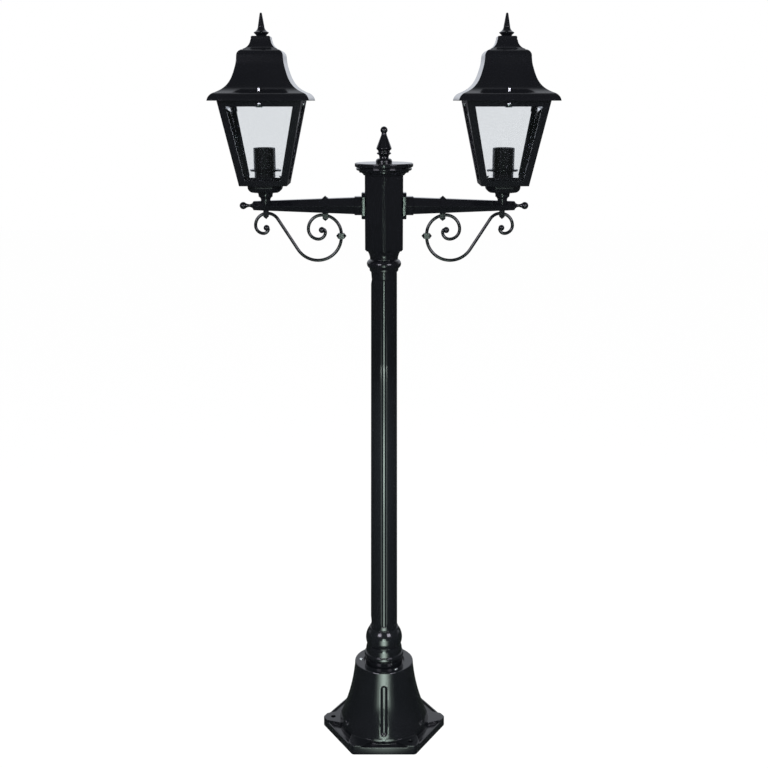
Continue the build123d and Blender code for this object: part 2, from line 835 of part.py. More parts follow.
# Inner clamp, a collar round the arm with a pointed block that holds the large curl
inner_drop = sqrt(shoulder_radius**2 - (inner_clamp_reach - shoulder_centre[0]) ** 2)
inner_rod_height = shoulder_centre[1] + inner_drop
inner_foot = inner_rod_height - rod_radius - clamp_below_rod
clamp_half = clamp_width / 2
with BuildPart() as inner_clamp:
    for reach in (inner_clamp_reach - clamp_half, inner_clamp_reach + clamp_half):
        with BuildSketch(arm_root.offset(reach)):
            RegularPolygon(arm_apothem(reach) + clamp_band, 6, major_radius=False)
    loft()
    with BuildSketch(Plane.XY.offset(inner_foot)):
        with Locations((inner_clamp_reach, 0)):
            Rectangle(clamp_width, clamp_width)
    extrude(amount=arm_axis_height - inner_foot)
    add_point(Plane((inner_clamp_reach, 0, inner_foot), z_dir=(0, 0, -1)), clamp_width)
    band_top = arm_axis_height + arm_apothem(inner_clamp_reach) + clamp_band / 2
    add_point(Plane((inner_clamp_reach, 0, band_top)), clamp_width)
    for reach in (inner_clamp_reach - clamp_half, inner_clamp_reach + clamp_half):
        with BuildSketch(arm_root.offset(reach)):
            RegularPolygon(arm_apothem(reach) + slip, 6, major_radius=False)
    loft(mode=Mode.SUBTRACT)
    with Locations(Plane(origin=(shoulder_centre[0], 0, shoulder_centre[1]), z_dir=(0, 1, 0))):
        Torus(shoulder_radius, rod_radius + slip, mode=Mode.SUBTRACT)
export_pair(inner_clamp.part, "inner_clamp")

# Outer clamp, a pointed block under the lantern that holds the small curl
outer_drop = sqrt(small_curl_radii[0] ** 2 - (lantern_reach - small_centre[0]) ** 2)
outer_foot = small_centre[1] + outer_drop - rod_radius - clamp_below_rod
arm_underside = arm_axis_height - arm_apothem(lantern_reach)
with BuildPart() as outer_clamp:
    with BuildSketch(Plane.XY.offset(outer_foot)):
        with Locations((lantern_reach, 0)):
            Rectangle(clamp_width - 1, clamp_width - 1)
    extrude(amount=arm_underside + clamp_band - outer_foot)
    add_point(Plane((lantern_reach, 0, outer_foot), z_dir=(0, 0, -1)), clamp_width - 1)
    for reach in (lantern_reach - clamp_half, lantern_reach + clamp_half):
        with BuildSketch(arm_root.offset(reach)):
            RegularPolygon(arm_apothem(reach) + slip, 6, major_radius=False)
    loft(mode=Mode.SUBTRACT)
    with Locations(Plane(origin=(small_centre[0], 0, small_centre[1]), z_dir=(0, 1, 0))):
        Torus(small_curl_radii[0], rod_radius + slip, mode=Mode.SUBTRACT)
export_pair(outer_clamp.part, "outer_clamp")

# Knot, a block with two pointed ends round the scroll's rod
knot_mid = shoulder_centre[1] - knot_stretch / 2 - knot_drop
with BuildPart() as scroll_knot:
    for side in (-1, 1):
        with BuildSketch(Plane(origin=(knot_reach, 0, knot_mid), x_dir=(0, 1, 0), z_dir=(side, 0, 0))):
            Rectangle(clamp_width, clamp_width)
        extrude(amount=clamp_half)
        add_point(
            Plane((knot_reach + side * clamp_half, 0, knot_mid), x_dir=(0, 1, 0), z_dir=(side, 0, 0)),
            clamp_width,
        )
    with Locations((knot_reach, 0, knot_mid)):
        Cylinder(rod_radius + rod_play, 2 * clamp_width, mode=Mode.SUBTRACT)
export_pair(scroll_knot.part, "scroll_knot")

# Lantern stem
with BuildPart() as lantern_stem:
    with BuildSketch(Plane(origin=(lantern_reach, 0, 0), x_dir=(1, 0, 0), z_dir=(0, -1, 0))):
        with BuildLine():
            Polyline(
                (arm_bore_radius, bowl_bottom),
                (arm_bore_radius, stem_seat),
                (stem_radius, stem_seat),
                (stem_radius, stem_waist_height),
            )
            RadiusArc(
                (stem_radius, stem_waist_height),
                (stem_band_radius - 0.8, stem_band_height),
                6.5,
            )
            Polyline(
                (stem_band_radius - 0.8, stem_band_height),
                (stem_band_radius, stem_band_height + 0.8),
                (stem_band_radius, stem_band_height + 3.0),
            )
            RadiusArc(
                (stem_band_radius, stem_band_height + 3.0),
                (stem_band_radius + 2.0, bowl_bottom),
                8,
            )
            Line((stem_band_radius + 2.0, bowl_bottom), (arm_bore_radius, bowl_bottom))
        make_face()
    revolve(axis=Axis((lantern_reach, 0, 0), (0, 0, 1)))
export_pair(lantern_stem.part, "lantern_stem")

# Lantern bowl, an eight-sided dish whose rim stands inside the cage
with BuildPart() as lantern_bowl:
    with BuildSketch(Plane.XY.offset(bowl_bottom)) as bowl_outline:
        with Locations((lantern_reach, 0)):
            Rectangle(bowl_width, bowl_width)
        chamfer(bowl_outline.vertices(), bowl_corner)
    extrude(amount=cage_bottom - bowl_bottom)
    fillet(lantern_bowl.faces().sort_by(Axis.Z)[0].edges(), bowl_curve)
    with BuildSketch(Plane.XY.offset(cage_bottom)) as bowl_rim_outline:
        with Locations((lantern_reach, 0)):
            Rectangle(bowl_rim_width, bowl_rim_width)
        chamfer(bowl_rim_outline.vertices(), bowl_corner)
    extrude(amount=bowl_rim_top - cage_bottom)
    with BuildSketch(Plane.XY.offset(bowl_floor)) as bowl_well:
        with Locations((lantern_reach, 0)):
            Rectangle(bowl_rim_width - 2 * bowl_wall, bowl_rim_width - 2 * bowl_wall)
        chamfer(bowl_well.vertices(), bowl_corner - bowl_wall / 2)
    extrude(amount=bowl_rim_top - bowl_floor, mode=Mode.SUBTRACT)
    with BuildSketch(Plane.XY.offset(bowl_bottom)):
        with Locations((lantern_reach, 0)):
            Circle(arm_bore_radius)
    extrude(amount=bowl_floor - bowl_bottom, mode=Mode.SUBTRACT)
export_pair(lantern_bowl.part, "lantern_bowl")

# Lantern cage
side_planes = [
    Plane(origin=(lantern_reach, 0, 0), x_dir=(cos(radians(a)), sin(radians(a)), 0), z_dir=(sin(radians(a)), -cos(radians(a)), 0))
    for a in (0, 90, 180, 270)
]
window_foot = cage_bottom + cage_rail_depth
window_head = cage_top - cage_rail_depth
lantern_planes = (
    Plane(origin=(lantern_reach, 0, 0), x_dir=(1, 0, 0), z_dir=(0, -1, 0)),
    Plane(origin=(lantern_reach, 0, 0), x_dir=(0, 1, 0), z_dir=(1, 0, 0)),
)
inner_foot_z = cage_bottom + cage_floor
inner_head_z = cage_top - cage_flange_thickness
with BuildPart() as cage_hollow:
    for turn, plane in enumerate(lantern_planes):
        with BuildSketch(plane):
            Polygon(
                (-cage_half(inner_foot_z) + cage_wall, inner_foot_z),
                (cage_half(inner_foot_z) - cage_wall, inner_foot_z),
                (cage_half(inner_head_z) - cage_wall, inner_head_z),
                (-cage_half(inner_head_z) + cage_wall, inner_head_z),
                align=None,
            )
        extrude(amount=cage_top_width, both=True, mode=Mode.INTERSECT if turn else Mode.ADD)

with BuildPart() as lantern_cage:
    for turn, plane in enumerate(lantern_planes):
        with BuildSketch(plane):
            Polygon(
                (-cage_bottom_width / 2, cage_bottom),
                (cage_bottom_width / 2, cage_bottom),
                (cage_top_width / 2, cage_top),
                (-cage_top_width / 2, cage_top),
                align=None,
            )
        extrude(amount=cage_top_width, both=True, mode=Mode.INTERSECT if turn else Mode.ADD)
    add(cage_hollow.part, mode=Mode.SUBTRACT)
    with BuildSketch(Plane.XY.offset(inner_head_z)):
        with Locations((lantern_reach, 0)):
            Rectangle(cage_top_width - 2 * cage_flange_width, cage_top_width - 2 * cage_flange_width)
            with Locations((0, -stud_reach), (0, stud_reach)):
                Circle(stud_radius + slip)
    extrude(amount=cage_flange_thickness, mode=Mode.SUBTRACT)
    with BuildSketch(Plane.XY.offset(cage_bottom)) as cage_mouth:
        with Locations((lantern_reach, 0)):
            Rectangle(bowl_rim_width + 2 * slip, bowl_rim_width + 2 * slip)
        chamfer(cage_mouth.vertices(), bowl_corner)
    extrude(amount=cage_floor, mode=Mode.SUBTRACT)
    for plane in lantern_planes:
        with BuildSketch(plane):
            Polygon(
                (-cage_half(window_foot) + cage_bar_width, window_foot),
                (cage_half(window_foot) - cage_bar_width, window_foot),
                (cage_half(window_head) - cage_bar_width, window_head),
                (-cage_half(window_head) + cage_bar_width, window_head),
                align=None,
            )
        extrude(amount=cage_top_width, both=True, mode=Mode.SUBTRACT)
    for plane in side_planes:
        with BuildSketch(rail_plane(plane)):
            Circle(rail_screw_shank_radius + slip)
        extrude(amount=-cage_wall * 1.3, mode=Mode.SUBTRACT)
export_pair(lantern_cage.part, "lantern_cage")

# Glass panes
pane_foot = window_foot - pane_lap
pane_height = (window_head - window_foot + 2 * pane_lap) / cos(cage_lean)


def wall_frame(side_plane, height):
    """On the cage's inner wall: x inwards, square to the wall, and y up along it."""
    inner = cage_half(height) - cage_wall
    foot = side_plane.from_local_coords(Vector(0, height, inner))
    inwards = side_plane.z_dir * -cos(cage_lean) + Vector(0, 0, 1) * sin(cage_lean)
    return Plane(origin=foot, x_dir=inwards, z_dir=side_plane.x_dir)


def pane_points(inset):
    """Corners of a pane's outline, or of the flat inside its bevel."""
    slack = cage_wall + (pane_thickness + seat_gap) / cos(cage_lean) + seat_gap
    spread = inset * hypot(1, sin(cage_lean))
    foot_half = cage_half(pane_foot) - slack
    low = foot_half + inset * sin(cage_lean) - spread
    high = foot_half + (pane_height - inset) * sin(cage_lean) - spread
    return ((-low, inset), (low, inset), (high, pane_height - inset), (-high, pane_height - inset))


pane_names = ("glass_front", "glass_outer", "glass_back", "glass_inner")
for name, side_plane in zip(pane_names, side_planes):
    frame = wall_frame(side_plane, pane_foot)
    pane_plane = Plane(
        origin=frame.origin + frame.x_dir * seat_gap,
        x_dir=side_plane.x_dir * -1,
        z_dir=frame.x_dir,
    )
    with BuildPart() as pane:
        with BuildSketch(pane_plane):
            Polygon(*pane_points(0), align=None)
        extrude(amount=pane_edge_thickness)
        with BuildSketch(pane_plane.offset(pane_edge_thickness)):
            Polygon(*pane_points(0.0), align=None)
        with BuildSketch(pane_plane.offset(pane_thickness)):
            Polygon(*pane_points(pane_bevel), align=None)
        loft()
    export_pair(pane.part, name)

# Clips that hold the panes by their top edge, one on each rail
screw_foot = cage_top - cage_flange_thickness - rail_screw_drop - pane_foot
screw_y = screw_foot / cos(cage_lean) + cage_wall * sin(cage_lean)
clip_head = screw_y + rail_screw_shank_radius + slip + clip_margin
with BuildPart() as glass_clips:
    for side_plane in side_planes:
        edge_y = pane_height + seat_gap
        leg_x = seat_gap + pane_edge_thickness + clip_leg * (
            pane_thickness - pane_edge_thickness
        ) / pane_bevel + seat_gap
        frame = wall_frame(side_plane, pane_foot)
        with BuildSketch(frame):
            Polygon(
                (seat_gap, edge_y),
                (leg_x, edge_y),
                (leg_x, edge_y - clip_leg),
                (leg_x + clip_thickness, edge_y - clip_leg),
                (leg_x + clip_thickness, edge_y + clip_thickness),
                (seat_gap + clip_thickness, edge_y + clip_thickness),
                (seat_gap + clip_thickness, clip_head),
                (seat_gap, clip_head),
                align=None,
            )
        extrude(amount=clip_width / 2, both=True)
        with Locations(rail_plane(side_plane)):
            Hole(rail_screw_shank_radius + slip, depth=4 * cage_wall)
export_pair(glass_clips.part, "glass_clips")

# Rail screws
with BuildPart() as rail_screws:
    for side_plane in side_planes:
        with Locations(rail_plane(side_plane)):
            Cylinder(
                rail_screw_head_radius,
                rail_screw_head_height,
                align=(Align.CENTER, Align.CENTER, Align.MIN),
            )
            Cylinder(
                rail_screw_shank_radius,
                cage_wall * cos(cage_lean) + seat_gap + clip_thickness + 0.4,
                align=(Align.CENTER, Align.CENTER, Align.MAX),
            )
        with Locations(rail_plane(side_plane).offset(rail_screw_head_height)):
            Box(
                2 * rail_screw_head_radius,
                slot_width,
                slot_depth,
                align=(Align.CENTER, Align.CENTER, Align.MAX),
                mode=Mode.SUBTRACT,
            )
export_pair(rail_screws.part, "rail_screws")

# Lampholder with its shell and contact
lantern_axis = Axis((lantern_reach, 0, 0), (0, 0, 1))
lantern_section = Plane(origin=(lantern_reach, 0, 0), x_dir=(1, 0, 0), z_dir=(0, -1, 0))
ring_foot = ring_height - ring_thickness / 2
ring_head = ring_height + ring_thickness / 2
shell_top = holder_top - shell_setback
shell_foot = shell_top - shell_length
with BuildPart() as lampholder:
    with BuildSketch(lantern_section):
        with BuildLine():
            Polyline(
                (0, shell_foot - contact_height),
                (0, bowl_floor),
                (holder_skirt_radius, bowl_floor),
                (holder_skirt_radius, ring_head),
                (holder_radius, ring_head),
                (holder_radius, holder_top - 1.5),
                (holder_radius - 0.6, holder_top - 0.3),
                (holder_radius - 1.5, holder_top),
                (holder_mouth_radius, holder_top),
                (holder_mouth_radius, shell_top),
                (shell_radius + slip, shell_top),
                (shell_radius + slip, shell_foot),
                (shell_radius - 3.0, shell_foot),
                (shell_radius - 3.0, shell_foot - contact_height),
                (0, shell_foot - contact_height),
            )
        make_face()
    revolve(axis=lantern_axis)
export_pair(lampholder.part, "lampholder")

with BuildPart() as lampholder_ring:
    with BuildSketch(Plane.XY.offset(ring_foot)):
        with Locations((lantern_reach, 0)):
            Circle(ring_radius)
            Circle(holder_skirt_radius + slip, mode=Mode.SUBTRACT)
    extrude(amount=ring_thickness)
    fillet(lampholder_ring.edges().filter_by(GeomType.CIRCLE).group_by(SortBy.RADIUS)[-1], 1.2)
export_pair(lampholder_ring.part, "lampholder_ring")

with BuildPart() as socket_shell:
    with BuildSketch(Plane.XY.offset(shell_foot)):
        with Locations((lantern_reach, 0)):
            Circle(shell_radius)
            Circle(shell_bore_radius, mode=Mode.SUBTRACT)
    extrude(amount=shell_length)
export_pair(socket_shell.part, "socket_shell")

with BuildPart() as socket_contact:
    with BuildSketch(Plane.XY.offset(shell_foot - contact_height)):
        with Locations((lantern_reach, 0)):
            Circle(contact_radius)
    extrude(amount=contact_height)
    chamfer(socket_contact.faces().sort_by(Axis.Z)[-1].edges(), 1.0)
export_pair(socket_contact.part, "socket_contact")

# Roof studs
with BuildPart() as roof_studs:
    with Locations(
        (lantern_reach, -stud_reach, cage_top - stud_root),
        (lantern_reach, stud_reach, cage_top - stud_root),
    ):
        Cylinder(stud_radius, stud_length, align=(Align.CENTER, Align.CENTER, Align.MIN))
export_pair(roof_studs.part, "roof_studs")


# Roof
def roof_outline(inset, drop):
    """Right half of the roof's outline up to the foot of its upper tier."""
    fascia = ThreePointArc(
        (roof_edge - inset, 0),
        (roof_edge - inset - 2.4, roof_fascia_height / 2 - drop),
        (roof_fascia_half - inset, roof_fascia_height - drop),
    )
    cove = Spline(
        fascia @ 1,
        (roof_cove_half + 11.5 - inset, roof_cove_height - 13 - drop),
        (roof_cove_half - inset, roof_cove_height - drop),
        (roof_shoulder_half + 3.2 - inset, roof_shoulder_height - 20 - drop),
        (roof_shoulder_half - inset, roof_shoulder_height - drop),
        tangents=[(-1, 0.42), (-0.05, 1)],
    )
    shoulder = ThreePointArc(
        cove @ 1,
        (roof_tier_half + 6.4 - inset, roof_tier_height - 4 - drop),
        (roof_tier_half - inset, roof_tier_height - drop),
    )
    return shoulder


roof_planes = (
    Plane(origin=(lantern_reach, 0, cage_top), x_dir=(1, 0, 0), z_dir=(0, -1, 0)),
    Plane(origin=(lantern_reach, 0, cage_top), x_dir=(0, 1, 0), z_dir=(1, 0, 0)),
)
with BuildPart() as roof_hollow:
    for turn, plane in enumerate(roof_planes):
        with BuildSketch(plane):
            with BuildLine():
                inner_side = roof_outline(roof_wall, roof_wall)
                Polyline(
                    inner_side @ 1,
                    (0, roof_tier_height - roof_wall),
                    (0, 0),
                    (roof_edge - roof_wall, 0),
                )
            make_face()
            mirror(about=Plane.YZ)
            with Locations((0, -roof_edge + roof_seat_thickness)):
                Rectangle(4 * roof_edge, 2 * roof_edge, mode=Mode.SUBTRACT)
            with Locations((0, roof_lid_height + roof_edge)):
                Rectangle(4 * roof_edge, 2 * roof_edge, mode=Mode.SUBTRACT)
        extrude(amount=roof_edge, both=True, mode=Mode.INTERSECT if turn else Mode.ADD)

with BuildPart() as roof:
    for turn, plane in enumerate(roof_planes):
        with BuildSketch(plane):
            with BuildLine():
                outer_side = roof_outline(0, 0)
                tier = ThreePointArc(
                    (roof_tier_half - 1.5, roof_tier_height + roof_tier_step),
                    (roof_collar_half + 4.3, roof_tier_height + 7.5),
                    (roof_collar_half + 0.8, roof_collar_base - 1.5),
                )
                Polyline(outer_side @ 1, (roof_tier_half - 1.5, roof_tier_height), tier @ 0)
                Polyline(
                    tier @ 1,
                    (roof_collar_half, roof_collar_base - 1.5),
                    (roof_collar_half, roof_height - 1.8),
                    (roof_top_half, roof_height),
                    (0, roof_height),
                    (0, 0),
                    (roof_edge, 0),
                )
            make_face()
            mirror(about=Plane.YZ)
        extrude(amount=roof_edge, both=True, mode=Mode.INTERSECT if turn else Mode.ADD)
    add(roof_hollow.part, mode=Mode.SUBTRACT)
    with BuildSketch(Plane.XY.offset(cage_top)):
        with Locations((lantern_reach, 0)):
            Rectangle(2 * roof_seat_half, 2 * roof_seat_half)
    extrude(amount=roof_seat_thickness, mode=Mode.SUBTRACT)
    stud_places = ((lantern_reach, -stud_reach), (lantern_reach, stud_reach))
    with BuildSketch(Plane.XY.offset(cage_top)):
        with Locations(*stud_places):
            Circle(stud_boss_radius)
    extrude(amount=nut_seat_height)
    with BuildSketch(Plane.XY.offset(cage_top + nut_seat_height)):
        with Locations(*stud_places):
            Circle(nut_spot_radius)
    extrude(amount=nut_height * 2, mode=Mode.SUBTRACT)
    with BuildSketch(Plane.XY.offset(cage_top)):
        with Locations(*stud_places):
            Circle(stud_radius + stud_play)
    extrude(amount=nut_seat_height, mode=Mode.SUBTRACT)
export_pair(roof.part, "roof")

# Dome nuts on the studs
nut_foot = cage_top + nut_seat_height
dome_radius = nut_flats / 2 - 0.3
with BuildPart() as roof_nuts:
    with BuildSketch(Plane.XY.offset(nut_foot)):
        with Locations(*stud_places):
            RegularPolygon(nut_flats / 2, 6, major_radius=False)
    extrude(amount=nut_hex_height)
    with BuildSketch(Plane.XY.offset(nut_foot)):
        with Locations(*stud_places):
            Circle(dome_radius)
    extrude(amount=nut_height - dome_radius)
    with Locations(*[(x, y, nut_foot + nut_height - dome_radius) for x, y in stud_places]):
        Sphere(dome_radius)
    with BuildSketch(Plane.XY.offset(nut_foot)):
        with Locations(*stud_places):
            Circle(stud_radius + stud_play)
    extrude(amount=nut_blind_depth, mode=Mode.SUBTRACT)
export_pair(roof_nuts.part, "roof_nuts")

# Roof finial
spire_foot = cage_top + roof_height
with BuildPart() as roof_finial:
    with BuildSketch(lantern_section):
        with BuildLine():
            Polyline(
                (0, spire_foot + spire_height),
                (0, spire_foot),
                (spire_base_radius, spire_foot),
                (spire_base_radius + 0.6, spire_foot + 2),
                (spire_bead_radius - 0.8, spire_foot + 5),
                (spire_bead_radius, spire_foot + 5.8),
                (spire_bead_radius, spire_foot + 6.6),
                (spire_bead_radius - 2.5, spire_foot + 8),
            )
            ThreePointArc(
                (spire_bead_radius - 2.5, spire_foot + 8),
                (spire_neck_radius + 1.4, spire_foot + 12),
                (spire_neck_radius, spire_foot + 17),
            )
            Line(
                (spire_neck_radius, spire_foot + 17),
                (spire_tip_radius, spire_foot + spire_height - spire_tip_radius),
            )
            CenterArc((0, spire_foot + spire_height - spire_tip_radius), spire_tip_radius, 0, 90)
        make_face()
    revolve(axis=lantern_axis)
export_pair(roof_finial.part, "roof_finial")
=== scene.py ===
# %% [markdown]
# # A twin head post light
# The real object is a garden light about 1.4 m tall: a hollow cast aluminium base and
# post, two arms with scrolls, and a square glazed lantern on each arm. The solids come
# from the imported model. This lesson gives them their finish, rounds the edges that a
# casting mould leaves soft, and adds the small hardware.

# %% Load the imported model
import json
from math import asin, atan2, cos, degrees, hypot, pi, radians, sin

import bmesh
import bpy
from mathutils import Matrix, Vector


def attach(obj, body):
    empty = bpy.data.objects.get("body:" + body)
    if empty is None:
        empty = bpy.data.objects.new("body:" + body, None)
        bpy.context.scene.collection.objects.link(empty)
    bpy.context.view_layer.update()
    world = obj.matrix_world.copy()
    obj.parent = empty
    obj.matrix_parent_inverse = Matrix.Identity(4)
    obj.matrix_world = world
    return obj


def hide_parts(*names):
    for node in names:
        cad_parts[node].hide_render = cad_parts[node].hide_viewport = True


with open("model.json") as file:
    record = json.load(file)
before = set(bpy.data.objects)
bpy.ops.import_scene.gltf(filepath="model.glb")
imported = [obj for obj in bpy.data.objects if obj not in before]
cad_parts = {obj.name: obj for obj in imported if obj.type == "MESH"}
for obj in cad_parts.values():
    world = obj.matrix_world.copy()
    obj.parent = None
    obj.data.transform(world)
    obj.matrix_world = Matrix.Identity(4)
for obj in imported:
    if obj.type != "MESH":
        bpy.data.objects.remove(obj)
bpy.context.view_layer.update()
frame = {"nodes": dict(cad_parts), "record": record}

MM = 0.001
print("packed nodes:", len(frame["nodes"]))

# %% [markdown]
# ## The camera
# The photograph was taken from about two metres away and a little above the middle of
# the lanterns, looking slightly down. A longer lens from further away would frame the
# light as well, but this one gives the same perspective, so the lanterns lean apart by
# the same amount. On a picture 768 pixels wide its focal length is 1100 pixels.

# %% Place the camera
CAMERA_PLACE = (0.0, -2.048, 1.265)
CAMERA_TILT = 14.5
FOCAL_PIXELS = 1100.0
PICTURE_PIXELS = 768.0
SENSOR_WIDTH = 36.0
camera_data = bpy.data.cameras.new("camera")
camera_data.sensor_fit = "HORIZONTAL"
camera_data.sensor_width = SENSOR_WIDTH
camera_data.lens = FOCAL_PIXELS * SENSOR_WIDTH / PICTURE_PIXELS
camera = bpy.data.objects.new("camera", camera_data)
camera.location = CAMERA_PLACE
camera.rotation_euler = (radians(90.0 - CAMERA_TILT), 0.0, 0.0)
bpy.context.scene.collection.objects.link(camera)
bpy.context.scene.camera = camera
print("lens in mm:", round(camera_data.lens, 2))

# %% [markdown]
# ## Small helpers for materials
# Colours are given in sRGB, as hex values, while the renderer works in linear
# light. The first function turns one into the other. The second adds any node, sets its
# sockets and links it, so that each finish below reads as a short list. The third opens
# an empty material to build in.


# %% Colour and node helpers
def linear(hex_colour):
    """An sRGB hex colour as linear red, green, blue and alpha."""
    parts = [int(hex_colour[i : i + 2], 16) / 255.0 for i in (1, 3, 5)]
    return tuple(c / 12.92 if c <= 0.04045 else ((c + 0.055) / 1.055) ** 2.4 for c in parts) + (1.0,)


def add_node(tree, kind, settings=None, **sockets):
    """Adds a node. A socket goes by its name, with __ for a space, or by _ and its number.
    Its value is a number, a colour or another node's output."""
    node = tree.nodes.new(kind)
    for name, value in (settings or {}).items():
        setattr(node, name, value)
    for name, value in sockets.items():
        socket = node.inputs[int(name[1:])] if name[0] == "_" else node.inputs[name.replace("__", " ")]
        if isinstance(value, bpy.types.NodeSocket):
            tree.links.new(value, socket)
        else:
            socket.default_value = value
    return node


def new_material(name):
    """An empty material with its tree and its output node."""
    material = bpy.data.materials.new(name)
    material.use_nodes = True
    material.node_tree.nodes.clear()
    return material, material.node_tree, material.node_tree.nodes.new("ShaderNodeOutputMaterial")


# %% [markdown]
# ## Glossy black powder coat on cast aluminium
# The castings are blasted, sprayed with charged polyester powder and baked. The melted
# powder flows out to a hard gloss, but keeps a faint orange peel about 2 mm wide, and the
# casting under it wavers slowly. Both bend the reflections, so both go into the bump, at
# their real sizes. A flat black would look like paint on card. Here the black and its
# gloss drift a little over a few centimetres, where the film is thicker or thinner.

# %% Powder coat
PEEL_WIDTH = 2.2 * MM
PEEL_HEIGHT = 0.003 * MM
WAVER_WIDTH = 34.0 * MM
WAVER_HEIGHT = 0.10 * MM
FILM_WIDTH = 60 * MM
SMOOTHEST, ROUGHEST = 0.85, 1.25


def powder_coat(name, colour, lighter, gloss):
    """A baked powder finish. gloss is its mean roughness, which drifts with the film."""
    material, tree, output = new_material(name)
    place = add_node(tree, "ShaderNodeTexCoord").outputs["Object"]
    peel = add_node(tree, "ShaderNodeTexNoise", Vector=place, Scale=1 / PEEL_WIDTH, Detail=1.0)
    waver = add_node(tree, "ShaderNodeTexNoise", Vector=place, Scale=1 / WAVER_WIDTH, Detail=2.0)
    film = add_node(tree, "ShaderNodeTexNoise", Vector=place, Scale=1 / FILM_WIDTH, Detail=3.0)
    shade = add_node(tree, "ShaderNodeMix", {"data_type": "RGBA"}, _0=film.outputs["Fac"],
                     _6=linear(colour), _7=linear(lighter))
    rough = add_node(tree, "ShaderNodeMapRange", Value=film.outputs["Fac"],
                     To__Min=gloss * SMOOTHEST, To__Max=gloss * ROUGHEST)
    slow = add_node(tree, "ShaderNodeBump", Height=waver.outputs["Fac"], Strength=1.0,
                    Distance=WAVER_HEIGHT)
    fine = add_node(tree, "ShaderNodeBump", Height=peel.outputs["Fac"], Strength=1.0,
                    Distance=PEEL_HEIGHT, Normal=slow.outputs["Normal"])
    shader = add_node(tree, "ShaderNodeBsdfPrincipled", Base__Color=shade.outputs[2],
                      Roughness=rough.outputs["Result"], IOR=1.5, Normal=fine.outputs["Normal"])
    tree.links.new(shader.outputs["BSDF"], output.inputs["Surface"])
    return material


black_coat = powder_coat("gloss_black_powder_coat", "#0C0D10", "#101114", gloss=0.14)
print("made", black_coat.name)

# %% [markdown]
# ## Clear bevelled glass
# Each lantern has four panes of 3 mm float glass with a shallow bevel ground round the
# edge. The eye sees clear glass with a cool tint and bright lines along the bevels. Lamps
# must shine through it, and a refracting shader would cast a solid shadow, so rays on
# their way to a lamp meet a plain transparent shader instead.

# %% Glass
clear_glass, tree, output = new_material("clear_float_glass")
glass_body = add_node(tree, "ShaderNodeBsdfPrincipled", Base__Color=linear("#F4F6F8"), Roughness=0.0,
                      IOR=1.52, Transmission__Weight=1.0)
lamp_ray = add_node(tree, "ShaderNodeLightPath").outputs["Is Shadow Ray"]
passing = add_node(tree, "ShaderNodeBsdfTransparent", Color=linear("#E9ECEF"))
glass_mix = add_node(tree, "ShaderNodeMixShader", _0=lamp_ray, _1=glass_body.outputs[0],
                     _2=passing.outputs[0])
tree.links.new(glass_mix.outputs[0], output.inputs["Surface"])
print("made", clear_glass.name)

# %% [markdown]
# ## Zinc plate, black thermoset and brass
# The screws and dome nuts are steel with a bright zinc plate, slightly cloudy. The
# lampholders are a moulded black thermoset, smooth as its mould. The screw shell and the
# contact in them are drawn brass. All three are cloudy in the same way, so one function
# makes them. Their grain is finer in life, and is drawn this coarse so that it shows.

# %% Hardware and lampholder finishes
CLOUD_WIDTH = 4 * MM


def plain_finish(name, colour, lighter, metallic, low, high, grain, depth):
    """A finish with cloudy roughness, from low to high, and a fine grain. grain and depth
    are in metres."""
    material, tree, output = new_material(name)
    place = add_node(tree, "ShaderNodeTexCoord").outputs["Object"]
    cloud = add_node(tree, "ShaderNodeTexNoise", Vector=place, Scale=1 / CLOUD_WIDTH, Detail=3.0)
    fine = add_node(tree, "ShaderNodeTexNoise", Vector=place, Scale=1 / grain, Detail=2.0)
    shade = add_node(tree, "ShaderNodeMix", {"data_type": "RGBA"}, _0=cloud.outputs["Fac"],
                     _6=linear(colour), _7=linear(lighter))
    rough = add_node(tree, "ShaderNodeMapRange", Value=cloud.outputs["Fac"], To__Min=low, To__Max=high)
    bump = add_node(tree, "ShaderNodeBump", Height=fine.outputs["Fac"], Strength=1.0, Distance=depth)
    shader = add_node(tree, "ShaderNodeBsdfPrincipled", Base__Color=shade.outputs[2], Metallic=metallic,
                      Roughness=rough.outputs["Result"], Normal=bump.outputs["Normal"])
    tree.links.new(shader.outputs["BSDF"], output.inputs["Surface"])
    return material


zinc = plain_finish("bright_zinc_plated_steel", "#C9CCCE", "#E2E4E5", metallic=1.0,
                    low=0.18, high=0.34, grain=0.6 * MM, depth=0.004 * MM)
thermoset = plain_finish("moulded_black_thermoset", "#0A0A0B", "#101012", metallic=0.0,
                         low=0.12, high=0.18, grain=1.5 * MM, depth=0.003 * MM)
brass = plain_finish("drawn_brass", "#B8964E", "#D2B36C", metallic=1.0,
                     low=0.22, high=0.36, grain=0.8 * MM, depth=0.004 * MM)
finishes = {
    "black_powder_coat": black_coat,
    "clear_glass": clear_glass,
    "zinc_steel": zinc,
    "holder_black": thermoset,
    "socket_brass": brass,
}
print("finishes:", sorted(finishes))

# %% [markdown]
# ## Give every node its finish
# Each piece of the real light has one finish. A list written by hand could say which, but
# the record already says which slot each node takes, so one loop dresses them all.

# %% Dress the nodes
slot_of = {row["node"]: row["material_slot"] for row in frame["record"]["subparts"]}
for name, node in frame["nodes"].items():
    node.data.materials.clear()
    node.data.materials.append(finishes[slot_of[name]])
print("dressed", len(slot_of), "nodes")

# %% [markdown]
# ## Soft edges
# A casting never has a knife edge: the mould, the blasting and the thick coat round each
# one to about half a millimetre, and that thin round catches the light. The solids could
# carry the rounds, but they would be slow to build and to check, so they keep plain
# edges. Each casting is copied, its loose triangles are joined, flat faces are merged,
# and a Bevel modifier rounds what is sharp. Weighted normals then keep the flats flat.
# The copy stands in for its node.

# %% Helpers for pieces
JOIN_REACH = 0.002 * MM
FLAT_TURN = 0.4


